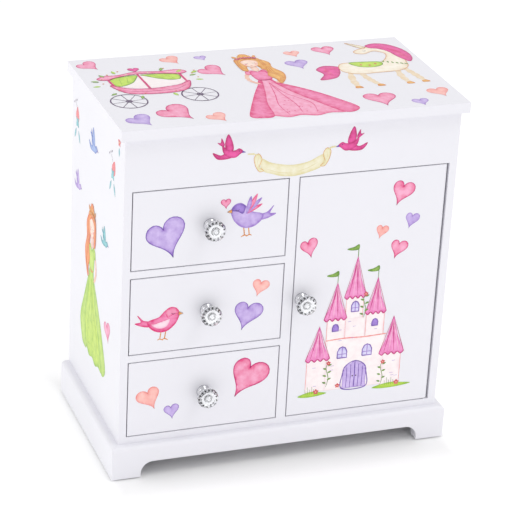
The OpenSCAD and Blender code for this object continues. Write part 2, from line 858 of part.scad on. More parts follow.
// The stop wire that the closing lid presses down: a rod through the tray floor, and a cranked arm
// whose end rests on the governor's brake disc.
module stop_pin() {
  low = worm_z + brake_r + 0.15;
  top = rim_z - frame_t - 0.1;
  crank = [[stop_x, stop_y], [worm_x - 8, brake_y], [worm_x, brake_y]];
  color(steel) {
    translate([stop_x, stop_y, low]) cylinder(r = stop_r, h = top - low);
    translate([stop_x, stop_y, top - 1.5]) cylinder(r = 2, h = 1.5);
    for (i = [0, 1])
      let (d = crank[i + 1] - crank[i])
        translate([crank[i].x, crank[i].y, low])
          rotate([0, 0, atan2(d.y, d.x)]) translate([0, -0.7, 0.1]) cube([norm(d), 1.4, 1.2]);
    for (p = [crank[1], crank[2]]) translate([p.x, p.y, low]) cylinder(r = 1.1, h = 1.4);
  }
}

// ---------------------------------------------------------------- dancer

hinge_point = [spindle_x, spindle_y, stage_z + 4.1];
spring_low = 0.5;
spring_high = 7;
spring_r = 1.9;
spring_wire = 0.35;
spring_turns = 6;
waist = 22;

module on_spring() {
  translate(hinge_point) rotate([dancer_tilt, 0, 0]) children();
}

spring_steps = 14;
spring_rings = [
  for (i = [0 : spring_steps * spring_turns])
    let (a = 360 * i / spring_steps,
         z = spring_low + spring_wire + (spring_high - spring_low - 2 * spring_wire) * i / (spring_steps * spring_turns))
      [for (k = [0 : 5])
        let (t = 60 * k, r = spring_r + spring_wire * cos(t))
          [r * cos(a), r * sin(a), z + spring_wire * sin(t)]]
];

module dancer_spring() {
  color(steel) on_spring() swept(spring_rings);
}

// A tapered limb between two points with its own two radii.
module limb(from, to, r0, r1) {
  d = to - from;
  length = norm(d);
  translate(from)
    rotate([0, acos(d.z / length), atan2(d.y, d.x)])
      cylinder(r1 = r0, r2 = r1, h = length, $fn = 24);
}

// A chain of limbs through points given as [place, radius], with a ball at each joint.
module limb_chain(points) {
  for (i = [0 : len(points) - 2])
    limb(points[i][0], points[i + 1][0], points[i][1], points[i + 1][1]);
  for (i = [1 : len(points) - 1]) translate(points[i][0]) sphere(points[i][1] * 1.08, $fn = 32);
}

module ballerina() {
  neck = waist + 7.4;
  color([0.96, 0.80, 0.72]) on_spring() {
    rotate_extrude()
      polygon([
        [0, waist - 1.6], [1.7, waist - 1.5], [2.2, waist - 0.4], [1.5, waist + 2.2],
        [2.2, waist + 5.4], [2, waist + 6.6], [0.8, neck], [0.7, waist + 9.2], [0, waist + 9.2]
      ]);
    translate([0, 0, spring_high + 0.2]) cylinder(r = 2.4, h = 1.2);
    limb_chain([[[-0.75, 0, waist], 1.2], [[-0.3, 0.1, spring_high + 8], 0.8], [[0, 0, spring_high + 1], 0.6]]);
    limb_chain([[[0.75, 0, waist], 1.15], [[2.3, -0.7, spring_high + 7], 0.8],
                [[0.9, -0.1, spring_high + 9.3], 0.55]]);
    translate([0, 0, waist + 11]) sphere(2.3);
    translate([0, 1.3, waist + 13]) sphere(1.25);
    for (s = [-1, 1])
      limb_chain([[[s * 1.6, 0, waist + 5.9], 0.8], [[s * 4.6, -0.6, waist + 11.5], 0.6],
                  [[s * 2.6, -0.9, waist + 17], 0.48], [[s * 0.9, -1, dancer_len - 0.4], 0.35]]);
  }
}

module tutu() {
  color([0.98, 0.75, 0.85]) on_spring()
    translate([0, 0, waist]) rotate_extrude()
      polygon([[2.3, -0.3], [tutu_r, -2.4], [tutu_r, -1.6], [tutu_r * 0.6, 0.2], [2.3, 0.9]]);
}

// ---------------------------------------------------------------- nodes

side_panel(-1);  // side_panel_left
side_panel(1);  // side_panel_right
back_panel();
bottom_board();
centre_divider();
drawer_shelves();
tray_floor();
front_apron();
plinth_front();
plinth_sides();
plinth_back();
foot_pads();
tray_insert();
ring_rolls();
cupboard_lining();
necklace_hooks();
door_magnet();
door_pivot_bushes();
lid_hinge_leaves(-1);  // lid_hinge_lower_leaves
lid_hinge_pins();
movement_cover();
bedplate();
comb();
movement_screws();
spring_barrel();
spindle_bush();
lid_panel();
lid_mirror();
mirror_frame();
lid_hinge_leaves(1);  // lid_hinge_upper_leaves
door_panel();
at_door_knob() knob();  // door_knob
at_door_knob() knob_screw();  // door_knob_screw
door_pivot_pins();
door_strike_plate();
drawer_front(2);  // drawer_front_top
drawer_box(2);  // drawer_box_top
drawer_lining(2);  // drawer_lining_top
at_drawer_knob(2) knob();  // drawer_knob_top
at_drawer_knob(2) knob_screw();  // drawer_screw_top
drawer_front(1);  // drawer_front_middle
drawer_box(1);  // drawer_box_middle
drawer_lining(1);  // drawer_lining_middle
at_drawer_knob(1) knob();  // drawer_knob_middle
at_drawer_knob(1) knob_screw();  // drawer_screw_middle
drawer_front(0);  // drawer_front_bottom
drawer_box(0);  // drawer_box_bottom
drawer_lining(0);  // drawer_lining_bottom
at_drawer_knob(0) knob();  // drawer_knob_bottom
at_drawer_knob(0) knob_screw();  // drawer_screw_bottom
winding_key();
great_wheel();
pinned_cylinder();
dancer_spindle();
governor_wheel();
governor_fly();
stop_pin();
dancer_spring();
ballerina();
tutu();
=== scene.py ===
import json
import random
from math import cos, exp, hypot, pi, radians, sin, sqrt

import bmesh
import bpy
from mathutils import Matrix, Vector, geometry


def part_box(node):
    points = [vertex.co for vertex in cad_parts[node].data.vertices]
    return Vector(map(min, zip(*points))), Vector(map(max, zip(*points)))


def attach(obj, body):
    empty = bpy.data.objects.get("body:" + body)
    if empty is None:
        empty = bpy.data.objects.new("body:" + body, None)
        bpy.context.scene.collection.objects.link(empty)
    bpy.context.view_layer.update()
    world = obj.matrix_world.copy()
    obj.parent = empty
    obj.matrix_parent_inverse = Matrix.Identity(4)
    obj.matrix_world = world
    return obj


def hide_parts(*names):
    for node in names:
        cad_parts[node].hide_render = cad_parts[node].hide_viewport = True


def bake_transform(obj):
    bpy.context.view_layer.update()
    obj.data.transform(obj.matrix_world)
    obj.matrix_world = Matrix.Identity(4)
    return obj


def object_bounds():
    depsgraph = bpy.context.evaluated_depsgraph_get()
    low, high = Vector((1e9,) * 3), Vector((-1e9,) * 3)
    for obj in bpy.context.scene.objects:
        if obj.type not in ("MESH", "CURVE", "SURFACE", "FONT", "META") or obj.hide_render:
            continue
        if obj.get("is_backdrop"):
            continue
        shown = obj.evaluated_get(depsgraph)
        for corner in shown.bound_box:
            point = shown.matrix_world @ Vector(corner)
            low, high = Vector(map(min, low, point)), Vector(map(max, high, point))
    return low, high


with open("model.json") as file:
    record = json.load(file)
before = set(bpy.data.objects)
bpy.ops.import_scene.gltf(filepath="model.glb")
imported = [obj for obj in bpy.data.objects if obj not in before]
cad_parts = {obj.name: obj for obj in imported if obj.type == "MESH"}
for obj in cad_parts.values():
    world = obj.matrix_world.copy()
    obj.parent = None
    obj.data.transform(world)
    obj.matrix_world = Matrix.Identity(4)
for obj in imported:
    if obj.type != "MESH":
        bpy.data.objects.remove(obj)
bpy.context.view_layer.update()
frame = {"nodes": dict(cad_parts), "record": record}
nodes = frame["nodes"]
MM = 0.001


# ------------------------------------------------------------------ materials

def linear(rgb):
    """A colour given as it looks on a screen, 0 to 1, as linear light."""
    return tuple(c / 12.92 if c <= 0.04045 else ((c + 0.055) / 1.055) ** 2.4 for c in rgb)


class Shader:
    """A Principled material with the helpers that its procedural detail needs."""

    def __init__(self, name):
        self.material = bpy.data.materials.new(name)
        self.material.use_nodes = True
        self.tree = self.material.node_tree
        self.principled = self.tree.nodes["Principled BSDF"]
        self.place = self.add("ShaderNodeTexCoord").outputs["Object"]

    def add(self, kind, **settings):
        node = self.tree.nodes.new(kind)
        for key, value in settings.items():
            if hasattr(node, key):
                setattr(node, key, value)
            else:
                node.inputs[key.replace("_", " ")].default_value = value
        return node

    def link(self, source, target):
        self.tree.links.new(source, target)

    def calc(self, operation, *inputs, **settings):
        """A Math node. Each input is a socket or a number."""
        node = self.add("ShaderNodeMath", operation=operation, **settings)
        for socket, value in zip(node.inputs, inputs):
            if isinstance(value, (int, float)):
                socket.default_value = value
            else:
                self.link(value, socket)
        return node.outputs[0]

    def set(self, **values):
        for key, value in values.items():
            self.principled.inputs[key.replace("_", " ")].default_value = value
        return self

    def noise(self, scale, detail, stretch=None, roughness=0.5):
        node = self.add("ShaderNodeTexNoise", Scale=scale, Detail=detail, Roughness=roughness)
        source = self.place
        if stretch:
            mapping = self.add("ShaderNodeMapping", Scale=stretch)
            self.link(source, mapping.inputs["Vector"])
            source = mapping.outputs["Vector"]
        self.link(source, node.inputs["Vector"])
        return node.outputs["Fac"]

    def ramp(self, factor, stops):
        node = self.add("ShaderNodeValToRGB")
        elements = node.color_ramp.elements
        while len(elements) < len(stops):
            elements.new(0.5)
        for element, (position, value) in zip(elements, stops):
            element.position = position
            element.color = (*value, 1) if hasattr(value, "__len__") else (value, value, value, 1)
        self.link(factor, node.inputs["Fac"])
        return node.outputs["Color"]

    def paint(self, factor, stops):
        self.link(self.ramp(factor, stops), self.principled.inputs["Base Color"])
        return self

    def clouded(self, scale, detail, rgb, shade):
        """One colour, darker by shade in soft patches."""
        base = linear(rgb)
        return self.paint(self.noise(scale, detail), [(0.3, tuple(c * shade for c in base)), (0.7, base)])

    def roughen(self, factor, low, high):
        self.link(self.ramp(factor, [(0.3, low), (0.7, high)]), self.principled.inputs["Roughness"])
        return self

    def bump(self, height, distance, strength):
        node = self.add("ShaderNodeBump", Strength=strength, Distance=distance)
        self.link(height, node.inputs["Height"])
        previous = self.principled.inputs["Normal"].links
        if previous:
            self.link(previous[0].from_socket, node.inputs["Normal"])
        self.link(node.outputs["Normal"], self.principled.inputs["Normal"])
        return self


def orange_peel(s):
    """The finish of a sprayed satin lacquer, on the paint and on what is printed on it."""
    s.roughen(s.noise(45, 3), 0.36, 0.46)
    s.bump(s.noise(900, 2), 0.00004, 0.5)
    return s.material


def lacquer(name, rgb):
    """Sprayed satin lacquer on fibreboard."""
    s = Shader(name).set(Coat_Weight=0.25, Coat_Roughness=0.22, Specular_IOR_Level=0.45)
    s.clouded(14, 4, rgb, 0.985)
    return orange_peel(s)


def metal(name, rgb, low, high, brushed=None):
    s = Shader(name).set(Metallic=1.0)
    s.clouded(180, 4, rgb, 0.86)
    s.roughen(s.noise(420, 4, brushed), low, high)
    s.bump(s.noise(700, 3, brushed), 0.00003, 0.4)
    return s.material


def velvet(name, deep, light):
    """Flocked card: short pile in fine specks, with soft lighter patches that are a painted sheen, where
    brushed pile would catch the light.
    """
    s = Shader(name).set(Roughness=0.95, Specular_IOR_Level=0.15, Sheen_Weight=0.6, Sheen_Roughness=0.45)
    s.principled.inputs["Sheen Tint"].default_value = (*linear(light), 1)
    # Painted sheen: the colour is lighter in soft patches and fine specks, as pile looks where it catches the
    # light.
    brushed = s.calc("MULTIPLY_ADD", s.noise(1900, 3, roughness=0.7), 0.55, s.noise(26, 4, roughness=0.55))
    s.paint(brushed, [(0.42, linear(deep)), (1.0, linear(light))])
    s.bump(s.noise(2600, 2), 0.00025, 0.7)
    s.bump(s.noise(60, 3), 0.0003, 0.2)
    return s.material


def card(name, rgb):
    """Felt, wrapped card or raw board: matt, with a short fibre."""
    s = Shader(name).set(Roughness=0.8, Specular_IOR_Level=0.25)
    s.clouded(300, 5, rgb, 0.94)
    s.bump(s.noise(1500, 4), 0.00006, 0.5)
    return s.material


def plastic(name, rgb, rough):
    s = Shader(name)
    s.clouded(250, 3, rgb, 0.9)
    s.roughen(s.noise(300, 3), rough - 0.06, rough + 0.08)
    s.bump(s.noise(1800, 2), 0.00003, 0.4)
    return s.material


def skin_paint(name, deep, light, gloss=0.35, grain=900):
    """The thin gloss paint on the dancer's figure."""
    s = Shader(name).set(Coat_Weight=0.3, Coat_Roughness=0.2)
    s.paint(s.noise(260, 4), [(0.35, linear(deep)), (0.65, linear(light))])
    s.roughen(s.noise(500, 3), gloss - 0.05, gloss + 0.08)
    s.bump(s.noise(grain, 3), 0.00005, 0.35)
    return s.material


def satin_cloth(name, deep, light, weave=2200):
    """Woven satin or tulle: fine crossed threads over a soft colour change."""
    s = Shader(name).set(Roughness=0.55, Sheen_Weight=0.5, Sheen_Roughness=0.3)
    s.paint(s.noise(120, 4), [(0.3, linear(deep)), (0.7, linear(light))])
    for direction in ("X", "Y", "Z"):
        wave = s.add("ShaderNodeTexWave", bands_direction=direction, Scale=weave / 6.28)
        s.link(s.place, wave.inputs["Vector"])
        s.bump(wave.outputs["Fac"], 0.00004, 0.3)
    return s.material


white = lacquer("white_lacquer", (0.922, 0.919, 0.944))
nickel = metal("nickel_plate", (0.82, 0.82, 0.83), 0.16, 0.3)
brass = metal("brass_plate", (0.86, 0.70, 0.38), 0.2, 0.34)
spring_steel = metal("spring_steel", (0.74, 0.75, 0.77), 0.22, 0.36, (1, 1, 12))
zinc = metal("cast_zinc", (0.72, 0.66, 0.50), 0.38, 0.55)
flocking = velvet("pink_flocking", (0.90, 0.54, 0.71), (0.97, 0.69, 0.82))
plush = velvet("pale_pink_plush", (0.93, 0.62, 0.76), (0.98, 0.76, 0.86))
felt = card("white_felt", (0.86, 0.86, 0.87))
board = card("wrapped_board", (0.93, 0.91, 0.90))
ferrite = plastic("black_ferrite", (0.10, 0.10, 0.11), 0.5)
nylon = plastic("white_nylon", (0.92, 0.92, 0.90), 0.35)
silvered = Shader("silvered_glass").set(Metallic=1.0, Base_Color=(0.93, 0.94, 0.95, 1), Roughness=0.02)
silvered.roughen(silvered.noise(30, 2), 0.012, 0.03)
silvered.bump(silvered.noise(9, 2), 0.00002, 0.1)
silvered = silvered.material

by_slot = {"white_lacquer": white, "felt_pad": felt, "flocking": flocking, "plush": plush, "brass_plate": brass,
    "black_ferrite": ferrite, "nylon": nylon, "nickel_steel": nickel, "white_card": board, "zinc_alloy": zinc,
    "spring_steel": spring_steel, "mirror_glass": silvered, "raw_board": board}
for entry in frame["record"]["subparts"]:
    material = by_slot.get(entry["material_slot"])
    if material:
        nodes[entry["node"]].data.materials.clear()
        nodes[entry["node"]].data.materials.append(material)


def soften(names, width, segments=3):
    """Rounds the sharp edges of CAD nodes, in millimetres."""
    for name in names:
        bevel = nodes[name].modifiers.new("soft_edges", "BEVEL")
        bevel.width = width * MM
        bevel.segments = segments
        bevel.limit_method = "ANGLE"
        bevel.angle_limit = radians(40)
        bevel.harden_normals = True


levels = ("top", "middle", "bottom")
soften(["side_panel_left", "side_panel_right", "back_panel", "front_apron", "centre_divider", "drawer_shelves",
    "bottom_board"], 0.3, 2)
soften(["plinth_front", "plinth_sides", "plinth_back", "lid_panel"], 0.7)
soften(["door_panel"] + [f"drawer_front_{n}" for n in levels], 0.5)
soften([f"drawer_box_{n}" for n in levels] + ["tray_insert", "mirror_frame", "movement_cover"], 0.5)
soften(["lid_hinge_lower_leaves", "lid_hinge_upper_leaves", "winding_key", "bedplate", "door_strike_plate",
    "door_magnet"], 0.2, 2)


# ------------------------------------------------------------------ mesh helpers

def make(name, bm, materials, body, smooth=True, replaced=()):
    """Turns a bmesh into a piece that rides on a body and may stand for CAD nodes."""
    mesh = bpy.data.meshes.new(name)
    bm.to_mesh(mesh)
    bm.free()
    for material in materials if isinstance(materials, (list, tuple)) else [materials]:
        mesh.materials.append(material)
    if smooth:
        mesh.polygons.foreach_set("use_smooth", [True] * len(mesh.polygons))
    piece = bpy.data.objects.new(name, mesh)
    bpy.context.scene.collection.objects.link(piece)
    if body:
        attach(piece, body)
    if replaced:
        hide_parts(*replaced)
    return piece


def around(count, turn=0.0):
    """Angles evenly round a circle."""
    return [2 * pi * (k + turn) / count for k in range(count)]


def bridge(bm, rings, slot=0, ends=True):
    """Joins each closed ring of points to the next one, and closes the first and the last."""
    count = len(rings[0])
    faces = [bm.faces.new((low[k], low[(k + 1) % count], high[(k + 1) % count], high[k]))
        for low, high in zip(rings, rings[1:]) for k in range(count)]
    if ends:
        faces += [bm.faces.new(rings[0][::-1]), bm.faces.new(rings[-1])]
    for face in faces:
        face.material_index = slot
    return faces


def tube(bm, path, radii, sides, slot=0):
    """A closed round tube through points, with a radius at each of them."""
    count = len(path)
    up = Vector((0, 0, 1))
    rings = []
    previous = None
    for i, point in enumerate(path):
        ahead = (path[min(i + 1, count - 1)] - path[max(i - 1, 0)]).normalized()
        side = previous or (ahead.cross(up) if abs(ahead.dot(up)) < 0.95 else ahead.cross(Vector((0, 1, 0))))
        side = (side - ahead * side.dot(ahead)).normalized()
        previous = side
        other = ahead.cross(side)
        rings.append([bm.verts.new(point + (side * cos(a) + other * sin(a)) * radii[i]) for a in around(sides)])
    bridge(bm, rings, slot)


def smooth_path(points, closed=False, steps=8):
    """A Catmull-Rom curve through the points, which may be in two or three dimensions."""
    count = len(points)
    result = []
    for i in range(count if closed else count - 1):
        quad = [points[(i + j) % count] if closed else points[max(0, min(count - 1, i + j))]
            for j in (-1, 0, 1, 2)]
        for k in range(steps):
            t = k / steps
            result.append(tuple(0.5 * (2 * b + (c - a) * t + (2 * a - 5 * b + 4 * c - d) * t * t
                + (3 * b - a - 3 * c + d) * t ** 3) for a, b, c, d in zip(*quad)))
    if not closed:
        result.append(tuple(points[-1]))
    return result


# ------------------------------------------------------------------ printing

inks = {"rose": ((0.97, 0.69, 0.81), (0.89, 0.25, 0.50)), "pink": ((0.96, 0.57, 0.75), (0.86, 0.13, 0.45)),
    "pale": ((0.98, 0.90, 0.93), (0.95, 0.72, 0.82)), "magenta": ((0.94, 0.34, 0.66), (0.74, 0.06, 0.42)),
    "lilac": ((0.82, 0.74, 0.93), (0.60, 0.46, 0.79)), "violet": ((0.68, 0.55, 0.88), (0.42, 0.28, 0.66)),
    "peach": ((0.99, 0.78, 0.75), (0.93, 0.52, 0.50)), "green": ((0.79, 0.90, 0.32), (0.55, 0.74, 0.14)),
    "leaf": ((0.62, 0.76, 0.34), (0.36, 0.54, 0.16)), "cream": ((0.955, 0.94, 0.86), (0.88, 0.84, 0.64)),
    "hide": ((0.99, 0.965, 0.91), (0.92, 0.83, 0.70)), "gold": ((0.97, 0.76, 0.40), (0.83, 0.50, 0.14)),
    "orange": ((0.98, 0.62, 0.28), (0.86, 0.36, 0.08)), "red": ((0.96, 0.52, 0.54), (0.82, 0.22, 0.30)),
    "blue": ((0.66, 0.76, 0.93), (0.30, 0.42, 0.76)), "teal": ((0.56, 0.84, 0.86), (0.24, 0.60, 0.66)),
    "wall": ((0.985, 0.955, 0.955), (0.95, 0.86, 0.88)), "pane": ((0.88, 0.86, 0.97), (0.62, 0.58, 0.86)),
    "orchid": ((0.96, 0.62, 0.82), (0.84, 0.25, 0.61)), "lime": ((0.80, 0.90, 0.40), (0.58, 0.76, 0.18)),
    "skin": ((1.0, 0.90, 0.84), (0.94, 0.72, 0.64)), "ink": ((0.50, 0.36, 0.54), (0.30, 0.20, 0.36))}


def wash(name, light, deep):
    """Transparent colour laid on with a wet brush: it gathers at the edges and clouds inside."""
    s = Shader("print_" + name).set(Coat_Weight=0.25, Coat_Roughness=0.22)
    gathered = s.add("ShaderNodeAttribute", attribute_name="wash").outputs["Fac"]
    cloud = s.calc("MULTIPLY_ADD", s.noise(210, 4, roughness=0.6), 1.7, -0.66)
    middle = tuple((a + b) / 2 for a, b in zip(linear(light), linear(deep)))
    s.paint(s.calc("ADD", cloud, gathered, use_clamp=True), [(0.0, linear(light)), (0.55, middle),
        (1.0, linear(deep))])
    return orange_peel(s)


ink_materials = {name: wash(name, *tones) for name, tones in inks.items()}


def placed(points, x, y, size=1.0, face=1, turn=0.0):
    """Points moved to (x, y), scaled, turned in degrees, and mirrored where face is -1."""
    c, s = cos(radians(turn)), sin(radians(turn))
    return [((px * face * c - py * s) * size + x, (px * face * s + py * c) * size + y) for px, py in points]


class Print:
    """Artwork printed on one flat face, in millimetres across and up that face. A shape lies a hair above
    the shapes that it overlaps, and cells of a coarse grid keep count of them."""

    grid, lowest, step = 1.3, 0.02, 0.011
    heart_points = 40

    def __init__(self, name, body, origin, across, up):
        self.name, self.body = name, body
        self.origin, self.across, self.up = Vector(origin), Vector(across), Vector(up)
        self.out = self.across.cross(self.up)
        self.bm = bmesh.new()
        self.wash = self.bm.verts.layers.float.new("wash")
        self.levels = {}
        self.used = []

    def lift(self, places):
        """Puts the next shape just above everything that it overlaps."""
        near = (-1, 0, 1)
        cells = {(round(x / self.grid) + i, round(y / self.grid) + j) for x, y in places for i in near
            for j in near}
        level = 1 + max(self.levels.get(cell, 0) for cell in cells)
        self.levels.update((cell, level) for cell in cells)
        self.height = self.lowest + self.step * level

    def vert(self, x, y, wash):
        v = self.bm.verts.new(self.origin + (self.across * x + self.up * y + self.out * self.height) * MM)
        v[self.wash] = wash
        return v

    def colour(self, name):
        """The material index of an ink on this print."""
        if name not in self.used:
            self.used.append(name)
        return self.used.index(name)

    def fill(self, outline, ink, rim=1.1, cell=1.5, tone=None, smooth=True):
        """Fills an outline. Colour gathers within rim of its edge, and tone adds more at a place."""
        edge = smooth_path(outline, closed=True) if smooth else outline
        xs, ys = [p[0] for p in edge], [p[1] for p in edge]
        count = len(edge)

        def inside(x, y):
            hit = False
            for i in range(count):
                (x0, y0), (x1, y1) = edge[i], edge[(i + 1) % count]
                if (y0 > y) != (y1 > y) and x < (x1 - x0) * (y - y0) / (y1 - y0) + x0:
                    hit = not hit
            return hit

        def depth(x, y):
            return min(hypot(x - (a + c) / 2, y - (b + d) / 2) for (a, b), (c, d) in zip(edge,
                edge[1:] + edge[:1]))

        points = [Vector(p) for p in edge]
        wet = [1.0] * count
        y = min(ys) + cell / 2
        while y < max(ys):
            x = min(xs) + cell / 2
            while x < max(xs):
                if inside(x, y):
                    far = depth(x, y)
                    if far > cell * 0.4:
                        points.append(Vector((x, y)))
                        wet.append(exp(-far / rim))
                x += cell
            y += cell
        loop = [(i, (i + 1) % count) for i in range(count)]
        made = geometry.delaunay_2d_cdt(points, loop, [], 1, 1e-5)
        self.lift([tuple(place) for place in made[0]])
        index = self.colour(ink)
        verts = []
        for place, sources in zip(made[0], made[3]):
            value = max((wet[i] for i in sources), default=0.5) * 0.8
            if tone:
                value += tone(place.x, place.y)
            verts.append(self.vert(place.x, place.y, value))
        for triangle in made[2]:
            try:
                face = self.bm.faces.new([verts[i] for i in triangle])
                face.material_index = index
            except ValueError:
                pass

    def stroke(self, line, width, ink, closed=False, smooth=True, taper=0.35):
        """A brush or pen line, thinner at its ends."""
        path = smooth_path(line, closed) if smooth else line
        if closed:
            path = path + path[:1]
        self.lift(path)
        index = self.colour(ink)
        count = len(path)
        sides = []
        for i, (x, y) in enumerate(path):
            ahead = path[min(i + 1, count - 1)]
            behind = path[max(i - 1, 0)]
            dx, dy = ahead[0] - behind[0], ahead[1] - behind[1]
            size = hypot(dx, dy) or 1
            share = i / (count - 1)
            swell = 1 if closed else taper + (1 - taper) * sin(pi * share)
            wobble = 1 + 0.18 * sin(i * 1.7 + x)
            half = width / 2 * swell * wobble
            sides.append([self.vert(x - dy / size * half * s, y + dx / size * half * s, 0.75) for s in (-1, 1)])
        for (a, b), (c, d) in zip(sides, sides[1:]):
            face = self.bm.faces.new((a, c, d, b))
            face.material_index = index

    def shape(self, outline, ink, line, width, **options):
        """A filled outline with a line round it."""
        self.fill(outline, ink, **options)
        self.stroke(outline, width, line, closed=True)

    def heart(self, x, y, size, ink, turn=0, lean=0.0, narrow=1.0, line=None):
        """A loose hand-drawn heart, size across. lean makes one lobe fuller than the other."""
        outline = []
        for t in around(self.heart_points, 0.5):
            hx = 16 * sin(t) ** 3
            hy = 13 * cos(t) - 5 * cos(2 * t) - 2 * cos(3 * t) - cos(4 * t) + 2
            hy -= 3.5 * max(0.0, -cos(t)) ** 6
            hx *= (1 + lean * (1 if hx > 0 else -1)) * narrow
            hy *= 1 + 0.6 * lean * (hx / 16)
            outline.append((hx, hy))
        outline = placed(outline, x, y, size / 32, turn=turn)
        self.fill(outline, ink, rim=size * 0.06, cell=max(0.7, size / 16), smooth=False,
            tone=lambda px, py: 0.25 * exp(-hypot(px - x, py - y - size * 0.2) / (size * 0.12)))
        self.stroke(outline, max(0.28, size * 0.022), line or ink, closed=True, smooth=False)

    def dots(self, places, size, ink):
        for x, y in places:
            self.fill([(x + size * cos(a), y + size * sin(a)) for a in around(8)], ink, cell=size, smooth=False)

    def leaf(self, x, y, length, turn, ink, fat=0.22):
        outline = [(0, 0), (0.35, fat), (0.7, fat * 0.8), (1, 0), (0.7, -fat * 0.8), (0.35, -fat)]
        self.fill(placed(outline, x, y, length, turn=turn), ink, rim=0.5, cell=0.8)

    def flower(self, x, y, size, ink="red", centre="cream"):
        for k in range(5):
            self.leaf(x, y, size, 90 + 72 * k, ink, 0.34)
        self.dots([(x, y)], size * 0.22, centre)

    def done(self):
        make(self.name, self.bm, [ink_materials[n] for n in self.used], self.body, smooth=False)


# Shared motifs. Every figure, bird, pony and castle here is drawn afresh, in plain generic forms.


def standing_bird(p, x, y, size, face, body, cap, wing=None):
    at = lambda points: placed(points, x, y, size, face)
    for foot in (-1.5, 2.5):
        p.stroke(at([(foot, -10), (foot - 0.6, -14), (foot - 1, -17.5)]), 0.9 * size, "gold", taper=0.8)
        p.stroke(at([(foot - 3, -18), (foot - 1, -17.3), (foot + 1.8, -18.6)]), 0.9 * size, "gold", taper=0.6)
    p.shape(at([(-11, -1), (-17, 1), (-22, 6), (-19, 0), (-24, -1), (-18, -4), (-12, -5)]), body, body, 0.4)
    p.shape(at([(13.5, 5), (10.5, 9.5), (5.5, 10.5), (0.5, 7), (-4, 2.5), (-13, -0.5), (-11.5, -6), (-5, -10.5),
        (3, -10.5), (9.5, -5.5), (12.5, 0)]), body, body, 0.4, tone=lambda px, py: 0.3 * max(0,
        (y - py) / (10 * size)))
    p.fill(at([(13.2, 5), (10.4, 9.3), (5.8, 10.1), (1.6, 7.4), (3.5, 1.5), (8, 3.5)]), cap)
    p.shape(at([(13, 5.8), (16.6, 4), (12.8, 2.8)]), "gold", "ink", 0.2, smooth=False)
    p.stroke(at([(6.6, 5.4), (8.2, 4.2), (10, 5)]), 0.45 * size, "ink")
    if wing:
        for k, (length, angle) in enumerate(((13, 150), (16, 132), (17, 114), (14, 97))):
            ink = wing[k % len(wing)]
            tip = (-1 + length * cos(radians(angle)), 2 + length * sin(radians(angle)))
            p.fill(at([(0.6, 1), (tip[0] / 2 + 1.6, tip[1] / 2 + 2), tip,
                (tip[0] / 2 - 1.8, tip[1] / 2 + 0.4)]), ink)
    else:
        p.fill(at([(5.5, 0), (0, -1), (-6, -2.5), (-10, -3.5), (-4, -7.5), (2.5, -6.5)]), "pale")
        p.stroke(at([(5.5, 0.5), (0, -1), (-6, -2.6), (-10, -3.6)]), 0.6 * size, cap)


def flying_bird(p, x, y, size, face, ink):
    at = lambda points: placed(points, x, y, size, face)
    p.shape(at([(-1.5, 1.5), (-3.2, 7), (-1.2, 14), (2, 8.5), (3, 2)]), ink, ink, 0.3)
    p.shape(at([(-1, 0.5), (-6, -1.5), (-12, 0.8), (-8.5, -4), (-2, -4.5), (3, -3)]), ink, ink, 0.3)
    p.fill(at([(10.5, 0.5), (7.5, 2.8), (4, 1.6), (-1.5, 2.6), (-5.2, 6.5), (-4.6, 1), (-1, -3), (4.5, -4),
        (8.2, -1.6)]), ink)
    p.fill(at([(-4.8, 5), (-9, 8.2), (-6.6, 8.2), (-6, 11.5), (-3.6, 6.8)]), ink)
    p.fill(at([(10, 1), (12.6, -0.6), (9.6, -0.8)]), "violet", smooth=False)
    p.dots(at([(7.4, 0.9)]), 0.4 * size, "ink")


